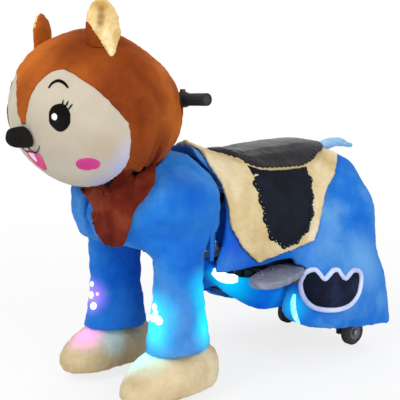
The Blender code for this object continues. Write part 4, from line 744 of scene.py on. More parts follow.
# ---------------------------------------------------------------- head

def head_point(azimuth, height, outward=0.0):
    """A point of the head's ball in the shared frame: azimuth 0 is the face, height runs from -1 to 1."""
    round_share = math.sqrt(max(1 - height ** 2, 0))
    x = math.sin(azimuth) * round_share
    y = -math.cos(azimuth) * round_share
    half_y = HEAD_HALF.y + outward
    if y > 0:
        x *= 1 - HEAD_NARROWING * y ** 2
        y *= round_share ** (CROWN_ROUNDING if height > 0 else NAPE_ROUNDING)
        half_y = HEAD_HALF_REAR + outward
    local = Vector(((HEAD_HALF.x + outward) * x, half_y * y, (HEAD_HALF.z + outward) * height))
    return HEAD_MIDDLE + Matrix.Rotation(HEAD_TURN, 3, "Z") @ local


def across_head(vector, middle=HEAD_MIDDLE):
    """A point's mirror image about the head's own middle plane."""
    turn = Matrix.Rotation(HEAD_TURN, 3, "Z")
    local = turn.inverted() @ (vector - middle)
    local.x = -local.x
    return middle + turn @ local


def face_on(turn, height):
    """The face's surface at an azimuth in degrees and a height, and its normal."""
    azimuth = math.radians(turn)
    step = 0.01
    point = head_point(azimuth, height)
    across = head_point(azimuth + step, height) - head_point(azimuth - step, height)
    up = head_point(azimuth, min(height + step, 0.999)) - head_point(azimuth, height - step)
    normal = across.cross(up).normalized()
    if normal.dot(point - HEAD_MIDDLE) < 0:
        normal = -normal
    return point, normal


CURVES = {}


def between(shares, where):
    """Where a value lies on a line of (place, value) points."""
    curve = CURVES.get(shares)
    if curve is None:
        curve = smooth_path([(place, value / 100) for place, value in shares], 240)
        CURVES[shares] = curve
    return float(np.interp(where, curve[:, 0], curve[:, 1] * 100))


# Where the hood's edges lie: (height, degrees from the middle of the face), outside and along the stripe
FACE_OUTER = (
    (-0.97, 50), (-0.93, 60), (-0.85, 70), (-0.72, 76), (-0.6, 78), (-0.39, 76.5), (-0.19, 73), (-0.04, 67.5),
    (0.06, 63), (0.165, 57.5), (0.25, 52), (0.33, 45.8), (0.4, 40), (0.447, 34.8), (0.466, 31.5), (0.475, 28),
)
FACE_INNER = (
    (-0.16, 2.6), (-0.03, 4.4), (0.075, 5.6), (0.16, 7), (0.275, 10), (0.35, 14.2), (0.4, 17), (0.43, 19.4),
    (0.455, 22.8), (0.475, 28),
)
PEAK_HEIGHT = 0.475
PEAK_TURN = 28
HOOD_THICKNESS = 8 * MM
HOOD_HEIGHTS = (0.992, 0.975, 0.94, 0.89, 0.83, 0.76, 0.69, 0.62, 0.56, 0.51, 0.49, 0.475, 0.466, 0.447, 0.4, 0.33,
                0.25, 0.2, 0.12, 0.05, -0.06, -0.19, -0.3, -0.39, -0.5, -0.6, -0.66, -0.72)
STRIPE_HEIGHTS = (0.82, 0.76, 0.69, 0.62, 0.56, 0.51, 0.49, 0.475, 0.455, 0.43, 0.4, 0.35, 0.3, 0.25, 0.19, 0.13,
                  0.06, 0.0, -0.08, -0.16)
MASK_HEIGHTS = (0.505, 0.49, 0.46, 0.42, 0.36, 0.3, 0.24, 0.18, 0.12, 0.06, 0.0, -0.07, -0.14, -0.21, -0.28, -0.35,
                -0.42, -0.49, -0.56, -0.63, -0.7, -0.76, -0.82, -0.87, -0.91, -0.94, -0.965)
MASK_DEPTH = 2.2 * MM
# Painted cool shade low on the near side of the face
LAVENDER_SHADE = (178, 184, 226)

# The features of the face, in degrees across and shares of the head's height
MOUTH_TURN = -3.6
EYE = ((28.8, 0.085), (25.0, 0.055), (22.6, -0.02), (22.3, -0.11), (24.0, -0.17), (27.6, -0.225), (31.2, -0.225),
       (34.6, -0.18), (36.6, -0.11), (36.5, -0.02), (34.6, 0.05), (32.0, 0.085))
LASHES = (((31.4, 0.07), (32.0, 0.1), (32.3, 0.135)), ((33.4, 0.05), (34.6, 0.085), (35.6, 0.12)),
          ((35.2, 0.015), (36.6, 0.05), (38.2, 0.085)))
BROW = ((21.5, 0.265), (23.8, 0.322), (27.8, 0.35), (32.0, 0.322), (35.0, 0.268))
MOUTH = ((0.3, -0.45), (2.4, -0.485), (6.6, -0.492), (11.0, -0.455), (13.8, -0.4))
TONGUE = ((-9.0, -0.52), (-9.8, -0.6), (-8.0, -0.67), (-4.2, -0.72), (0.6, -0.725), (5.0, -0.685), (8.6, -0.6),
          (9.8, -0.515), (4.5, -0.495), (0.0, -0.475), (-4.5, -0.495))
TOOTH = ((-5.0, -0.505), (-4.6, -0.56), (-3.2, -0.605), (-0.6, -0.625), (1.8, -0.6), (3.0, -0.56), (3.4, -0.505),
         (-0.6, -0.495))

# The lower tip of the near ear and the line behind which it is brown, in the picture's pixels
EAR_TIP = ((101.5, 43), (104.5, 47.5), (107.5, 52.5), (110.5, 56), (114, 55.5), (116, 51), (116.4, 47), (114, 44),
           (107, 42))
EAR_EDGE = ((90, 24.5), (110, 55.5))
FAR_EAR_SHARE = 0.84

# The neck's upright axis and the bib, whose width at shares of its height grows by these factors
NECK_Y = -0.2335
DRAPE_TOP = -0.46
CHIN_REACH = 45 * MM
CHIN_HEIGHT = 0.6
GATHER_HEIGHTS = (0, 0.15, 0.4, 1)
GATHER_NEAR = (1.7, 1.25, 0.66, 0.66)
GATHER_FAR = (1.7, 1.2, 1, 1)

# Where the body stands out most behind the seat, in the picture's pixels, and how far off the seat presses on it
RUMP_BULGE = (362, 205)
PUSH_REACH = 8 * MM

# The edge of the haunch patch and its middle, in the picture's pixels
HAUNCH_PATCH = ((303.5, 275.7), (308, 271.2), (314.3, 269.9), (318.8, 273.9), (323.3, 279.3), (327.8, 275.7),
                (332.3, 270.8), (337.2, 270.3), (340.4, 274.8), (344.4, 278.8), (348, 275.2), (352.1, 270.7),
                (357.5, 270.8), (360.2, 275.7), (359.7, 285.6), (356.6, 295.5), (349.4, 304.5), (338.6, 309),
                (326, 309.9), (313.4, 307.2), (305.3, 300), (301.2, 291), (300.4, 282))
PATCH_MIDDLE = (330, 292)

# Where the photograph shows the lamps, in its pixels, with their radius in millimetres
LEG_LAMPS = (
    (154.5, 307, 8.5), (152.8, 318, 9.5), (158.5, 320.5, 11.5), (155.5, 313, 7.5),
    (92, 284, 7), (91.5, 295, 9.5), (93.5, 306, 9.5),
)
PINK_LAMP = (97.5, 294)
UNDER_LIGHT = ((213, 270), (219, 275), (227, 278), (238, 279))
HAUNCH_LIGHT = ((294.5, 294), (293, 303), (294, 312), (297, 320), (301, 326))

# A lobe of the scalloped edges: (share of its radius, height in millimetres)
LOBE_RADIUS = 9.5 * MM
LOBE = ((0.96, -1.5), (1, 1.2), (0.9, 3.0), (0.5, 3.8))

FOOTREST_TURN = math.radians(23)
RIB_SPACING = 22 * MM

# A wheel's colours at shares of its radius, and the hard pieces' materials with their nodes
WHEEL_RINGS = ((0.0, (96, 98, 100)), (0.2, (70, 72, 74)), (0.52, (120, 122, 124)), (0.56, (16, 16, 17)),
               (1.0, (30, 30, 31)))
FRAME_LOOKS = (
    (("bare_steel", (120, 122, 124), (172, 174, 176), 0.3, 1.0, 1200, 0.08),
     "rear_axle front_axle_bolt_left front_axle_bolt_right"),
    (("black_plastic", (20, 20, 22), (44, 44, 47), 0.5),
     "handlebar throttle_housing switch_housing controller_box charge_socket motor_pulley axle_pulley"),
    (("grey_plastic", (108, 112, 132), (142, 146, 162), 0.5, 0.0, 500, 0.5), "footrest_left footrest_right"),
    (("grip_rubber", (14, 14, 15), (32, 32, 34), 0.78, 0.0, 380, 0.9), "grip_left grip_right drive_belt"),
    (("switch_plastic", (60, 14, 12), (96, 24, 20), 0.45), "throttle_lever start_button"),
    (("plywood", (150, 112, 70), (190, 152, 104), 0.7, 0.0, 90, 0.3), "seat_board"),
    (("battery_case", (40, 42, 46), (64, 66, 72), 0.55), "battery_left battery_right"),
)


def shell(name, outer, inner, count):
    """A closed sheet from the points of its two faces, which come in rows of this many."""
    half = len(outer)
    faces = []
    for row in range(0, half - count, count):
        last = row + count - 1
        for k in range(row, last):
            faces.append((k, k + 1, k + count + 1, k + count))
            faces.append((half + k, half + k + count, half + k + count + 1, half + k + 1))
        for k in (row, last):
            faces.append((k, k + count, half + k + count, half + k))
    for row in (0, half - count):
        for k in range(row, row + count - 1):
            faces.append((k, half + k, half + k + 1, k + 1))
    return solid(name, outer + inner, faces)


def row_between(start, end, steps, height):
    """A row of even steps round the head at one height."""
    return [(start + (end - start) * step / steps, height) for step in range(steps + 1)]


def head_sheet(name, rows, outward, inward):
    """A sheet round the head: rows of (azimuth in radians, height), and how far out its two faces are."""
    outer, inner = ([head_point(azimuth, height, out) for row in rows for azimuth, height in row]
                    for out in (outward, inward))
    return shell(name, outer, inner, len(rows[0]))


def hood_edge(curve, height, wider=0.0):
    """Where the hood ends at a height, in degrees from the face's middle: above the curve it draws in."""
    if height < PEAK_HEIGHT:
        return between(curve, height)
    return PEAK_TURN * max(0.02, (0.82 - height) / 0.345) + wider


def make_hood(look):
    """The long brown hood over the back, top and sides of the head, with its stripe down to the nose."""
    rows = []
    for height in HOOD_HEIGHTS:
        edge = math.radians(hood_edge(FACE_OUTER, height))
        rows.append(row_between(edge, math.tau - edge, 72, height))
    cover = head_sheet("hood_cover", rows, 1 * MM, -HOOD_THICKNESS)
    rows = []
    for height in STRIPE_HEIGHTS:
        edge = math.radians(hood_edge(FACE_INNER, height, 0.8))
        rows.append(row_between(-edge, edge, 16, height))
    hood = merged("hood_plush", [cover, head_sheet("hood_stripe", rows, 1 * MM, -HOOD_THICKNESS)])
    remeshed(hood, 3.6 * MM, 3)
    open_bar_holes(hood)
    points = points_of(hood)
    moves = np.zeros(len(points))
    back = Matrix.Rotation(-HEAD_TURN, 3, "Z")
    for index, point in enumerate(points):
        local = back @ (Vector(point) - HEAD_MIDDLE)
        turn = abs(math.atan2(local.x, -local.y))
        low = clamped((0.25 - local.z / HEAD_HALF.z) / 0.7)
        behind = clamped((math.degrees(turn) - 80) / 12) * clamped((150 - math.degrees(turn)) / 20)
        moves[index] = low * behind * (math.cos(turn * 16 + local.z * 9) - 0.4)
    set_points(hood, points + normals_of(hood) * (5 * MM * moves)[:, None])
    raised(hood, [(3.2 * MM, 0.05, (1, 1, 0.7)), (1.6 * MM, 0.016), (0.7 * MM, 0.006)])
    return dressed(hood, look, "steering", "hood")


def open_bar_holes(item):
    """The two holes through which the handlebar comes out of the head."""
    left, right = (sum(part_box(f"grip_{word}"), Vector()) / 2 for word, _ in SIDES)
    along = (right - left).normalized()
    tool = lathe("bar_hole_tool", [(36 * MM, -0.25), (36 * MM, 0.25)], (left + right) / 2, along, 40)
    hole = item.modifiers.new("hole", "BOOLEAN")
    hole.operation = "DIFFERENCE"
    hole.solver = "EXACT"
    hole.object = tool
    applied(item)
    bpy.data.objects.remove(tool)


def make_mask(look):
    """The smooth cloth of the face, which runs a little under the hood's edge."""
    rows = []
    for height in MASK_HEIGHTS:
        edge = math.radians(between(FACE_OUTER, height) + 2.5)
        rows.append(row_between(-edge, edge, 64, height))
    mask = head_sheet("face_cloth", rows, -MASK_DEPTH, -7.5 * MM)
    remeshed(mask, 3.6 * MM, 2)
    raised(mask, [(1.6 * MM, 0.08), (0.35 * MM, 0.01)])
    return dressed(mask, look, "steering", "face_mask")


def mask_on(turn, height):
    point, normal = face_on(turn, height)
    return point - normal * MASK_DEPTH, normal


def ellipse(middle, half, lean=0.0):
    """An ellipse on the face, in degrees across and shares of height up, leant by an angle."""
    made = []
    for step in range(40):
        turn = math.tau * step / 40
        a, b = math.cos(turn), math.sin(turn)
        u = half[0] * a * math.cos(lean) - half[0] * b * math.sin(lean)
        v = half[1] * a * math.sin(lean) + half[1] * b * math.cos(lean)
        made.append((middle[0] + u, middle[1] + v))
    return made


def feature(turn, side):
    """A place on the near half of the face, or its mirror image about the line through nose and mouth."""
    return turn if side > 0 else 2 * MOUTH_TURN - turn


def make_face(looks):
    """Both eyes with their lashes and brows, the cheeks, the mouth with tongue and tooth."""
    pieces = []

    def shape(name, outline, middle, thickness, look):
        pieces.append(patch(name, outline, middle, mask_on, thickness, 1.5 * MM, looks[look], 5))

    def line(name, points, half_width, count=24, ends=0.3):
        places = [mask_on(u, v) for u, v in smooth_path(points, count)]
        pieces.append(strand(name, [p + n * 0.4 * MM for p, n in places], [n for _, n in places], half_width,
                             1.4 * MM, looks["ink"], ends=ends))

    for word, side in SIDES:
        def on_side(points):
            return [(feature(u, side), v) for u, v in points]

        shape(f"eye_{word}", smooth_loop(on_side(EYE), 56), (feature(29.6, side), -0.07), 2.6 * MM, "eye")
        glint = (feature(26.6, side), -0.06)
        shape(f"eye_glint_{word}", ellipse(glint, (2.3, 0.047)), glint, 3.7 * MM, "glint")
        for number, points in enumerate(LASHES):
            line(f"lash_{number + 1}_{word}", on_side(points), 1.8 * MM, 10, 0.1)
        line(f"brow_{word}", on_side(BROW), 3.5 * MM, ends=0.45)
        cheek = ellipse((45.5, -0.632), (10.2, 0.088), 0.05)
        shape(f"cheek_{word}", on_side(cheek), (feature(45.5, side), -0.632), 1.2 * MM, "cheek")
        line(f"mouth_{word}", [(MOUTH_TURN + u * side, v) for u, v in MOUTH], 1.4 * MM)
    line("mouth_middle", [(MOUTH_TURN, v) for v in (-0.37, -0.41, -0.46)], 1.3 * MM, 12, 0.5)
    tongue = [(u + MOUTH_TURN, v) for u, v in smooth_loop(TONGUE, 48)]
    shape("tongue", tongue, (MOUTH_TURN, -0.6), 1.5 * MM, "tongue")
    tooth = [(u + MOUTH_TURN, v) for u, v in smooth_loop(TOOTH, 32)]
    shape("tooth", tooth, (MOUTH_TURN - 0.6, -0.55), 2.3 * MM, "tooth")
    for piece in pieces:
        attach(piece, "steering")


def make_nose(look):
    nose = soft_copy("nose_plush", look, "steering", ["nose"], (2.4 * MM, 8), [(0.8 * MM, 0.012), (0.4 * MM, 0.004)])


def make_ears(cream, brown, hood_tree):
    """Two upright ears: cream fleece inside, a brown back, with painted shade in a dent down the front."""
    (left, top), (right, bottom) = EAR_EDGE
    outline = [Vector(point) for point in smooth_loop(EAR_TIP, 40)]
    tip_middle = Vector((sum(p.x for p in outline), sum(p.y for p in outline))) / len(outline)
    for word, side in SIDES:
        node = f"ear_{word}"
        ear = joined(f"{node}_plush", node)
        remeshed(ear, 3 * MM, 5)
        raised(ear, [(3.0 * MM, 0.03), (1.4 * MM, 0.009)])
        if side < 0:
            points = points_of(ear)
            base = points[:, 2].min() + 10 * MM
            points[:, 2] = np.where(points[:, 2] > base, base + (points[:, 2] - base) * FAR_EAR_SHARE, points[:, 2])
            set_points(ear, points)
        ear.data.materials.clear()
        ear.data.materials.append(cream)
        ear.data.materials.append(brown)
        facing = Matrix.Rotation(HEAD_TURN, 3, "Z") @ Vector((math.sin(EAR_TURN) * side, -math.cos(EAR_TURN), 0))
        for polygon in ear.data.polygons:
            across, down = picture_place(polygon.center if side > 0 else across_head(polygon.center))
            beside = down > top - 3 and across < left + (down - top) * (right - left) / (bottom - top)
            polygon.material_index = 1 if beside or polygon.normal.dot(facing) < -0.3 else 0
        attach(ear, "steering")
        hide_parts(node)

        def on_hood(across, down):
            point, normal = seen(across, down, hood_tree)
            if side > 0:
                return point, normal
            return across_head(point), across_head(normal, Vector((0, 0, 0)))

        tip = patch(f"ear_tip_{word}", outline, tip_middle, on_hood, 9 * MM, 6 * MM, cream, 6)
        raised(tip, [(2.4 * MM, 0.012)])
        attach(tip, "steering")


def nape_drape():
    """The hood's cloth between its rounded sides and the bib, which falls in folds over the neck."""
    chest = node_tree("chest")
    halves = []
    for side in (1, -1):
        outer = []
        inner = []
        for step in range(41):
            share = step / 40
            aim = head_point(math.radians(30 + 76 * share) * side, DRAPE_TOP)
            turn = math.radians((79.5 + 28 * share) * side)
            top = head_point(turn, DRAPE_TOP, 1.5 * MM)
            axis = Vector((0, NECK_Y, 0.508 + 0.068 * share ** 0.8))
            outward = Vector((aim.x - axis.x, aim.y - axis.y, 0)).normalized()
            hit = chest.ray_cast(axis + outward * 0.5, -outward)[0]
            low = (hit if hit is not None else axis + outward * 0.12) + outward * 5 * MM
            fold = 3.5 * MM * math.sin(turn * 11)
            for row in range(11):
                down = row / 10
                bulge = (7 * MM * min(step / 12, 1) + fold) * math.sin(math.pi * min(down * 1.1, 1)) + fold * down
                place = top.lerp(low, down) + outward * bulge
                outer.append(place)
                inner.append(place - outward * 7 * MM)
        halves.append(shell("drape_half", outer, inner, 11))
    return halves


def gathered(cape):
    """The bib is drawn together under the chin and rounded at its foot, and keeps its distance from the chest."""
    chest = node_tree("chest")

    def reach_at(turn, height):
        outward = Vector((math.sin(turn), -math.cos(turn), 0))
        hit = chest.ray_cast(Vector((0, NECK_Y, height)) + outward * 0.5, -outward)[0]
        return None if hit is None else math.hypot(hit.x, hit.y - NECK_Y)

    points = points_of(cape)
    foot = points[:, 2].min()
    low = points[points[:, 2] < foot + 15 * MM]
    middle = float(np.arctan2(low[:, 0].mean(), NECK_Y - low[:, 1].mean()))
    for point in points:
        turn = math.atan2(point[0], NECK_Y - point[1])
        share = (point[2] - foot) / (CHIN_HEIGHT - foot)
        widths = GATHER_NEAR if turn < middle else GATHER_FAR
        width = float(np.interp(share, GATHER_HEIGHTS, widths))
        off = turn - middle
        loose = clamped((abs(off) - math.radians(50)) / math.radians(40))
        new_turn = middle + off * (width + (1 - width) * loose)
        old_reach, new_reach = reach_at(turn, point[2]), reach_at(new_turn, point[2])
        reach = math.hypot(point[0], point[1] - NECK_Y)
        if old_reach is not None and new_reach is not None:
            fade = clamped((0.565 - point[2]) / 0.03)
            reach += fade * clamped(new_reach - old_reach, -14 * MM, 14 * MM)
        point[0] = math.sin(new_turn) * reach
        point[1] = NECK_Y - math.cos(new_turn) * reach
    set_points(cape, points)


def make_cape(look, head_trees):
    """The hood's lower edge, which goes round the neck and hangs as a bib in soft folds."""
    cape = merged("cape_plush", [joined("bib", "cape"), *nape_drape()])
    remeshed(cape, 3.4 * MM, 4)
    gathered(cape)
    points = points_of(cape)
    turn = np.arctan2(points[:, 0], NECK_Y - points[:, 1])
    depth = np.clip((CHIN_HEIGHT - points[:, 2]) / 0.16, 0, 1)
    folds = 4.5 * MM * depth * (np.cos(turn * 7 + 0.6) + 0.4 * np.cos(turn * 13 + 2.0))
    set_points(cape, points + normals_of(cape) * folds[:, None])
    raised(cape, [(3.0 * MM, 0.04, (1, 1, 0.5)), (1.2 * MM, 0.01)])
    points = points_of(cape)
    for point in points:
        hits = [tree.ray_cast(Vector(point), UP, CHIN_REACH)[3] for tree in head_trees]
        gap = min([found for found in hits if found is not None], default=None)
        if gap is not None:
            point[2] += (1 - gap / CHIN_REACH) * (gap + 2.5 * MM)
    set_points(cape, points)
    return dressed(cape, look, "steering", "cape")


# ---------------------------------------------------------------- body

def make_front(look):
    """Chest and both front legs, sewn as one plush."""
    front = joined("chest_and_legs_plush", "chest", "front_leg_left", "front_leg_right")
    remeshed(front, 4.6 * MM, 6)
    raised(front, [(7 * MM, 0.11, (1, 1, 0.7)), (3.4 * MM, 0.035, (1, 1, 1.6)), (1.2 * MM, 0.011)])
    hinge = next(joint for joint in frame["joints"] if joint["name"] == "steering_hinge")
    for limit in hinge["range_deg"]:
        kept_off(front, turned_tree("frame_spine", -limit, Vector(hinge["pos_m"])), 3 * MM)
    dressed(front, look, "steering", "chest", "front_leg_left", "front_leg_right")
    return front


def make_skirt(look):
    """The chest plush goes on downwards behind the legs and closes the space before the body."""
    axis = Vector((0, NECK_Y, 0))
    outer = []
    inner = []
    for step in range(49):
        turn = math.radians(-66 + 132 * step / 48) - HEAD_TURN
        outward = Vector((math.sin(turn), math.cos(turn), 0))
        for row in range(9):
            reach = 0.205 + 3 * MM * math.sin(turn * 15) * row / 8
            height = UP * (0.47 - 0.13 * row / 8)
            outer.append(axis + outward * reach + height)
            inner.append(axis + outward * (reach - 7 * MM) + height)
    skirt = shell("chest_skirt", outer, inner, 9)
    remeshed(skirt, 3.4 * MM, 3)
    raised(skirt, [(2.4 * MM, 0.05), (1.0 * MM, 0.01)])
    dressed(skirt, look, "steering")


def make_paws(look):
    for word, _ in SIDES:
        node = f"paw_{word}"
        paw = soft_copy(f"{node}_plush", look, "steering", [node], (3.6 * MM, 6), [(6 * MM, 0.07), (1.6 * MM, 0.012)])


def make_body(look, belly_look):
    """The plush over the body: both flanks, the haunches and the back of the rump, sewn together."""
    nodes = ("body_cover_left", "body_cover_right", "haunch_left", "haunch_right", "rump_cover")
    over = [node_tree(name) for name in ("saddle_blanket", "seat_cover", "haunch_patch_left", "haunch_patch_right")]
    body = joined("body_plush", *nodes)
    remeshed(body, 5.2 * MM, 8)
    raised(body, [(9 * MM, 0.15, (1, 1, 0.7)), (3.6 * MM, 0.05, (1, 1, 0.8)), (1.2 * MM, 0.012)],
           clear_of(over, 3 * MM, 26 * MM))
    points = points_of(body)
    for point, normal in zip(points, normals_of(body)):
        gaps = [tree.find_nearest(Vector(point), PUSH_REACH)[3] for tree in over[:2]]
        gap = min([found for found in gaps if found is not None], default=None)
        if gap is not None:
            point -= normal * (1 - gap / PUSH_REACH) * 3 * MM
    set_points(body, points)
    middle = seen(*RUMP_BULGE, tree_of(body))[0]
    points = points_of(body)
    mirrored = points.copy()
    mirrored[:, 0] = abs(mirrored[:, 0])
    share = np.clip(1 - np.linalg.norm(mirrored - np.array(middle), axis=1) / 0.15, 0, 1)
    share = share * share * (3 - 2 * share)
    outward = np.zeros_like(points)
    outward[:, 0] = np.sign(points[:, 0]) * math.cos(CAMERA_AROUND)
    outward[:, 1] = math.sin(CAMERA_AROUND)
    set_points(body, points + outward * (24 * MM * share)[:, None])
    dressed(body, look, "chassis", *nodes)
    belly = soft_copy("belly_plush", belly_look, "chassis", ["belly_cover_left", "belly_cover_right"], (4.6 * MM, 6),
                      [(4 * MM, 0.06), (1.2 * MM, 0.012)],
                      clear_of([node_tree("footrest_bar"), node_tree("chassis_plate")], 3 * MM, 12 * MM))
    return body, belly


def make_tail(look):
    tail = soft_copy("tail_plush", look, "chassis", ["tail"], (2.6 * MM, 5), [(2.2 * MM, 0.03), (0.9 * MM, 0.008)])


def make_blanket(look):
    """The fleece saddle blanket, thickened so that its skin closes, with a ragged pile along its edge."""
    blanket = joined("blanket_fleece", "saddle_blanket")
    set_points(blanket, points_of(blanket) + normals_of(blanket) * 1.3 * MM)
    remeshed(blanket, 2.8 * MM, 2)
    over = [node_tree(name) for name in ("seat_cover", "seat_flap_left", "seat_flap_right")]
    raised(blanket, [(2.0 * MM, 0.05), (2.2 * MM, 0.011), (1.2 * MM, 0.005)], clear_of(over, 0.5 * MM, 6 * MM))
    return dressed(blanket, look, "chassis", "saddle_blanket")


def scallops(name, loop, ground, spacing, look, stud_look, wave=0.0):
    """A scalloped edge sewn to a rim: round lobes with a small stud in each, flat on the ground or standing out."""
    length = sum((Vector(b) - Vector(a)).length for a, b in zip(loop, loop[1:]))
    count = int(length / spacing)
    places = spread(loop, count, False)
    middle = sum((Vector(p) for p in loop), Vector()) / len(loop)
    lobes = []
    studs = []
    for index, place in enumerate(places):
        ahead = Vector(places[min(index + 1, count - 1)]) - Vector(places[max(index - 1, 0)])
        point, normal = (Vector(place), UP) if ground is None else ground.find_nearest(Vector(place))[:2]
        outward = ahead.cross(normal).normalized()
        outward = outward if outward.dot(point - middle) > 0 else -outward
        if ground is None:
            normal = (outward * 0.75 + UP * 0.66).normalized()
            point -= outward * 2 * MM
            outward = -UP
        size = LOBE_RADIUS * (1 + wave * math.cos(math.tau * index / 3))
        outline = [(size * share, height * MM) for share, height in LOBE]
        lobes.append(lathe(f"{name}_lobe_{index}", outline, point, normal, 20, look))
        studs.append(bead(f"{name}_stud_{index}", point + normal * 3.2 * MM + outward * size * 0.45, normal,
                          1.7 * MM, 1.3 * MM, stud_look, 10, 3))
    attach(merged(f"{name}_edge", lobes, look), "chassis")
    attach(merged(f"{name}_studs", studs, stud_look), "chassis")


def make_seat(look, flap_look, stud_look, fleece_look, blanket):
    """The padded vinyl seat with fleece under it and its two hanging flaps, each with a scalloped edge."""
    seat = joined("seat_pad", "seat_cover")
    remeshed(seat, 3.4 * MM, 6)
    puffed(seat, 3.0, 5 * MM)
    raised(seat, [(2.2 * MM, 0.05), (0.7 * MM, 0.014, (1, 1.6, 1))])
    dressed(seat, look, "chassis", "seat_cover")
    underlay = joined("seat_underlay", "seat_cover")
    remeshed(underlay, 3.6 * MM, 2)
    set_points(underlay, points_of(underlay) - np.array([0, 0, 5 * MM]))
    dressed(underlay, fleece_look, "chassis")
    low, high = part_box("seat_cover")
    rim = rim_of(seat, (low + high) / 2, [0, 1], 90)
    loop = [tuple(point) for point in smooth_loop([tuple(point) for point in rim[::3]], 120)]
    scallops("seat", loop + [loop[0]], None, 16 * MM, look, stud_look)
    ground = tree_of(blanket)
    for word, _ in SIDES:
        node = f"seat_flap_{word}"
        flap = soft_copy(f"{node}_leather", flap_look, "chassis", [node], (2.6 * MM, 3),
                         [(1.8 * MM, 0.05), (0.5 * MM, 0.012)])
        low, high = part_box(node)
        rim = rim_of(flap, (low + high) / 2, [1, 2], 96)
        count = len(rim)
        sewn = [point[2] > high[2] - 0.2 * (high[2] - low[2]) for point in rim]
        starts = [(index + 1) % count for index in range(count) if sewn[index] and not sewn[(index + 1) % count]]
        around = [(starts[-1] + step) % count for step in range(count)]
        loop = smooth_path([tuple(rim[index]) for index in around if not sewn[index]][::3], 90)
        scallops(node, [tuple(point) for point in loop], ground, 15 * MM, flap_look, stud_look, 0.35)


def make_haunch_patches(look, border_look, body):
    """A dark padded patch on each haunch with a pale fleece border that follows its wavy top."""
    ground = tree_of(body)
    outline = [tuple(place) for place in smooth_loop(HAUNCH_PATCH, 110)]
    for word, side in SIDES:
        node = f"haunch_patch_{word}"

        def on_haunch(across, down):
            point, normal = seen(across, down, ground)
            if side < 0:
                point, normal = ground.find_nearest(Vector((-point.x, point.y, point.z)))[:2]
            return point, normal

        pad = patch(f"{node}_pad", outline, PATCH_MIDDLE, on_haunch, 6 * MM, 5 * MM, look, 10)
        raised(pad, [(1.2 * MM, 0.04), (0.5 * MM, 0.009)])
        dressed(pad, look, "chassis", node)
        rim = [on_haunch(across, down) for across, down in outline + outline[:1]]
        border = strand(f"{node}_border", [point + normal * 1.5 * MM for point, normal in rim],
                        [normal for _, normal in rim], 7.2 * MM, 8.5 * MM, border_look, 10)
        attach(border, "chassis")


def make_lamps(white, pink, cyan, front, body, belly):
    """The small lamps sewn into both legs, the light bar under the body and the strip along the haunch."""
    on_front = tree_of(front)
    beads = []
    for index, (across, down, radius) in enumerate(LEG_LAMPS):
        found = seen(across, down, on_front)
        if found:
            beads.append(bead(f"lamp_{index}", *found, radius * MM, 0.6 * radius * MM, white, 20))
    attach(merged("leg_lamps", beads, white), "steering")
    found = seen(*PINK_LAMP, on_front)
    if found:
        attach(bead("pink_lamp", *found, 5 * MM, 3 * MM, pink, 20), "steering")
    under = [tree_of(belly), tree_of(body)]
    for name, pixels, half, look in (("under_light", UNDER_LIGHT, 15 * MM, white),
                                     ("haunch_light", HAUNCH_LIGHT, 8 * MM, cyan)):
        places = [seen(across, down, *under) for across, down in smooth_path(pixels, 24)]
        places = [place for place in places if place]
        if len(places) > 4:
            path = [place + normal * 1.5 * MM for place, normal in places]
            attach(strand(name, path, [normal for _, normal in places], half, half * 0.45, look, 10), "chassis")


def make_foams(look):
    """The foam inside the seat and the head."""
    for node, body in (("seat_foam", "chassis"), ("head_core", "steering")):
        foam = soft_copy(f"{node}_block", look, body, [node], (5 * MM, 1), [(0.8 * MM, 0.01)])


def wheel_look(name, axis):
    """Black tyre with a grey hub: the colour goes by the distance from the wheel's axis."""
    low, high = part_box(name)
    look = Look(name, 0.7)
    offset = look.node("ShaderNodeVectorMath", operation="SUBTRACT")
    look.feed(offset.inputs[0], look.coordinates)
    offset.inputs[1].default_value = tuple((low + high) / 2)
    beside = look.node("ShaderNodeVectorMath", operation="CROSS_PRODUCT")
    look.feed(beside.inputs[0], offset.outputs["Vector"])
    beside.inputs[1].default_value = tuple(Vector(axis).normalized())
    reach = look.node("ShaderNodeVectorMath", operation="LENGTH")
    look.feed(reach.inputs[0], beside.outputs["Vector"])
    share = look.math("DIVIDE", reach.outputs["Value"], (high[2] - low[2]) / 2)
    base = look.ramp(share, [(place, linear(*color)) for place, color in WHEEL_RINGS])
    dust = look.noise(60, 4, 0.8)
    look.color(look.mix(look.math("MULTIPLY", dust, 0.25), base, linear(120, 112, 100)))
    look.bump(look.math("ADD", look.noise(500, 2), look.math("MULTIPLY", dust, 0.6)), 0.5 * MM, 0.5)
    return look.material


def dress_frame():
    """The hard pieces of the frame keep their shapes and get their materials."""
    steel = moulded("painted_steel", (34, 35, 38), (62, 63, 66), 0.42, 0.4, 700, 0.15)
    kinds = {}
    for settings, nodes in FRAME_LOOKS:
        kinds.update(dict.fromkeys(nodes.split(), moulded(*settings)))
    for word, _ in SIDES:
        for end, axis in (("rear", (1, 0, 0)), ("front", (math.cos(HEAD_TURN), math.sin(HEAD_TURN), 0))):
            node = f"{end}_wheel_{word}"
            kinds[node] = wheel_look(node, axis)
    for name, item in frame["nodes"].items():
        for slot in item.material_slots:
            slot.material = kinds.get(name, steel)


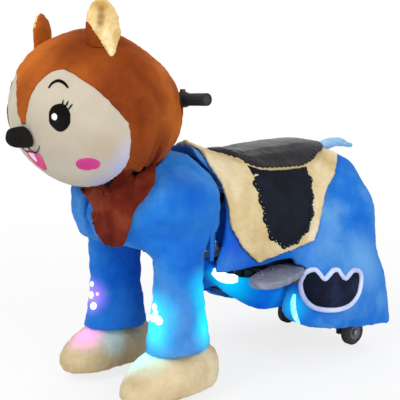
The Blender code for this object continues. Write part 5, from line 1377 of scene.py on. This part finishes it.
def footrest_treads(look, screw_look):
    """Raised ribs and two screws on each footrest."""
    for word, side in SIDES:
        node = f"footrest_{word}"
        tree = node_tree(node)
        low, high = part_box(node)
        middle = (low + high) / 2
        turn = FOOTREST_TURN * side
        along = Vector((-math.sin(turn), math.cos(turn), 0))
        across = Vector((math.cos(turn), math.sin(turn), 0))
        ribs = []
        for step in range(-4, 5):
            start = middle + along * step * RIB_SPACING
            hits = [tree.ray_cast(start + across * part * 8 * MM + UP * 0.1, -UP)[0] for part in range(-4, 5)]
            path = [hit for hit in hits if hit is not None and hit.z > high[2] - 2 * MM]
            if len(path) > 3:
                ribs.append(strand(f"rib_{step}", path, [UP] * len(path), 2.4 * MM, 1.4 * MM, look))
        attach(merged(f"{node}_ribs", ribs, look), "chassis")
        screws = []
        for step in (-1, 1):
            place = middle + along * step * 33 * MM - across * 30 * MM * side + UP * 0.1
            hit = tree.ray_cast(place, -UP)[0]
            if hit is not None:
                screws.append(bead(f"screw_{step}", hit, UP, 4.5 * MM, 2.2 * MM, screw_look, 16))
        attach(merged(f"{node}_screws", screws, screw_look), "chassis")


def spots_on(*rows):
    """Places in the picture on some nodes: (across, down, nodes, radius in millimetres, colour)."""
    return [(seen_on(across, down, *nodes.split()), radius * MM, color)
            for across, down, nodes, radius, color in rows]


def brown_looks():
    """The hood's plush, with painted shadow low on its near side, and the bib's plush, whose darker brown is painted
    shade under the head.
    """
    # Darker spots: the two low on the near side are painted shadow under the head, the two up by the ears are darker
    # tones
    hood_tones_and_shade = spots_on((160, 142, "hood", 90, (112, 42, 16)), (148, 168, "hood", 110, (84, 26, 14)),
                          (118, 48, "hood", 120, (116, 42, 4)), (76, 48, "hood", 110, (98, 32, 2)))
    return (plush("brown_plush", (116, 46, 14), (156, 76, 26), (194, 104, 36), patch_scale=5, places=hood_tones_and_shade),
            # The bib is the hood's own cloth: its darker brown is painted shade under the head
            plush("bib_plush_shaded", (60, 12, 6), (102, 32, 18), (132, 58, 36), patch_scale=12))


def blue_looks():
    """The plush of chest and legs, of the body and of the belly, with the light of the lamps on it and painted shade
    and highlights.
    """
    front_lights = spots_on(
        (153, 315, "front_leg_left", 88, (0.0, 0.85, 1.0, 1)), (90, 296, "front_leg_right", 64, (0.5, 0.15, 0.85, 1)),
        (156, 340, "front_leg_left", 60, (0.0, 0.5, 0.6, 1)), (205, 305, "front_leg_left", 74, (0.0, 0.6, 0.75, 1)),
        (206, 330, "front_leg_left", 66, (0.0, 0.75, 0.9, 1)), (201, 285, "front_leg_left", 60, (0.0, 0.4, 0.55, 1)),
    )
    # Painted shade on the chest behind the near leg, and a smaller spot of middle blue lower on the chest
    front_tones_and_shade = spots_on((190, 190, "chest", 90, (0, 84, 192)), (120, 236, "chest", 60, (30, 120, 208)))
    body_lights = spots_on((294, 306, "haunch_left belly_cover_left", 60, (0.0, 0.3, 0.45, 1)))
    # Painted shade under the front of the blanket and under the saddle, a painted highlight on the rear of the haunch;
    # copied to the far side
    body_shade_and_highlight = spots_on((240, 245, "body_cover_left", 110, (0, 66, 206)),
                          (302, 225, "body_cover_left haunch_left", 100, (0, 84, 214)),
                          (366, 262, "haunch_left body_cover_left", 130, (110, 170, 226)))
    body_shade_and_highlight += [(Vector((-place.x, place.y, place.z)), radius, color) for place, radius, color in body_shade_and_highlight]
    belly_lights = spots_on((226, 276, "belly_cover_left body_cover_left", 120, (0.0, 0.6, 0.8, 1)),
                            (290, 306, "belly_cover_left haunch_left", 70, (0.0, 0.2, 0.4, 1)))
    return (plush("blue_plush", (0, 86, 196), (38, 120, 206), (96, 156, 216), front_lights, 4, places=front_tones_and_shade),
            plush("body_blue_plush", (0, 76, 200), (32, 116, 208), (98, 160, 220), body_lights, 4,
                  places=body_shade_and_highlight),
            plush("belly_blue_plush", (0, 84, 214), (0, 118, 236), (40, 160, 248), belly_lights, 6))


def face_look():
    """The mask's pale cloth, with painted lavender shade low on the near side and two smaller spots of other tints."""
    tones = spots_on((122, 168, "face_mask", 70, LAVENDER_SHADE), (100, 183, "face_mask", 60, LAVENDER_SHADE),
                     (126, 150, "face_mask", 44, (196, 196, 214)), (104, 148, "face_mask", 60, (190, 172, 146)))
    return plush("face_cloth", (182, 168, 144), (200, 189, 170), (214, 206, 194), patch_scale=4, contrast=0.7,
                 places=tones)


def ear_look():
    """The ears' fleece, with painted shade in the dent down their front."""
    # Painted shade in the dent down the front of each ear
    dent = [seen_on(across, down, "ear_left") for across, down in ((101.5, 9), (101, 16), (100, 23))]
    dent += [across_head(place) for place in dent]
    return plush("ear_fleece", (190, 150, 84), (222, 190, 124), (242, 222, 172), patch_scale=22, fine=260.0,
                 places=[(place, 15 * MM, (132, 84, 20)) for place in dent])


def paw_look():
    """The paws' cream plush, with the light of the lamps on it."""
    lights = spots_on((85, 334, "paw_right", 70, (0.75, 0.1, 0.8, 1)), (112, 340, "paw_right", 64, (0.0, 0.2, 0.32, 1)),
                      (148, 356, "paw_left", 76, (0.1, 0.7, 0.8, 1)), (134, 362, "paw_left", 66, (0.1, 0.55, 0.65, 1)))
    return plush("paw_plush", (186, 160, 118), (212, 190, 148), (230, 212, 176), lights, 8)


def main():
    SCENE.view_settings.view_transform = "Standard"
    make_camera()
    make_lights()
    make_world()
    make_floor()
    brown, shaded_bib_brown = brown_looks()
    blue, body_blue, belly_blue = blue_looks()
    cream = plush("cream_plush", (200, 172, 120), (222, 200, 154), (236, 220, 184), patch_scale=10)
    pale = plush("tail_plush", (110, 170, 215), (150, 195, 228), (185, 215, 238))
    ink = plush("black_plush", (4, 4, 3), (12, 11, 9), (30, 28, 26))
    white = plush("white_plush", (176, 188, 232), (205, 214, 246), (226, 232, 252))
    patch_look = plush("dark_patch", (10, 14, 30), (20, 26, 46), (36, 44, 74))
    stud = moulded("stud", (150, 140, 120), (186, 178, 158), 0.35, scale=300.0, depth=0.1)
    looks = {
        "eye": ink,
        "ink": ink,
        "glint": plush("glint", (225, 222, 230), (238, 236, 242), (250, 250, 252)),
        "cheek": plush("cheek", (196, 60, 130), (214, 78, 148), (228, 104, 168)),
        "tongue": plush("tongue", (214, 52, 112), (226, 74, 134), (238, 118, 168)),
        "tooth": plush("tooth", (240, 215, 228), (250, 232, 242), (255, 248, 252)),
    }
    foam = plush("foam", (170, 165, 140), (196, 190, 165), (214, 210, 190))
    seat = leather("seat_leather", (30, 28, 31), (50, 47, 50), 0.56, 0.2)
    flap = leather("flap_leather", (8, 12, 22), (18, 25, 38), 0.6, 0.1)
    hood_tree = tree_of(make_hood(brown))
    mask_tree = tree_of(make_mask(face_look()))
    make_face(looks)
    make_nose(ink)
    make_ears(ear_look(), brown, hood_tree)
    cape = make_cape(shaded_bib_brown, (mask_tree, hood_tree))
    front = make_front(blue)
    make_skirt(blue)
    make_paws(paw_look())
    body, belly = make_body(body_blue, belly_blue)
    make_tail(pale)
    blanket = make_blanket(cream)
    make_seat(seat, flap, stud, cream, blanket)
    make_haunch_patches(patch_look, white, body)
    make_foams(foam)
    make_lamps(lamp("white_lamp", (190, 245, 255), 2.6), lamp("pink_lamp", (255, 110, 220), 1.6),
               lamp("cyan_lamp", (0, 205, 255), 1.0), front, body, belly)
    dress_frame()
    footrest_treads(moulded("tread", (92, 96, 116), (120, 124, 142), 0.55),
                    moulded("screw", (150, 150, 152), (190, 190, 192), 0.3, 1.0, 300, 0.1))


main()
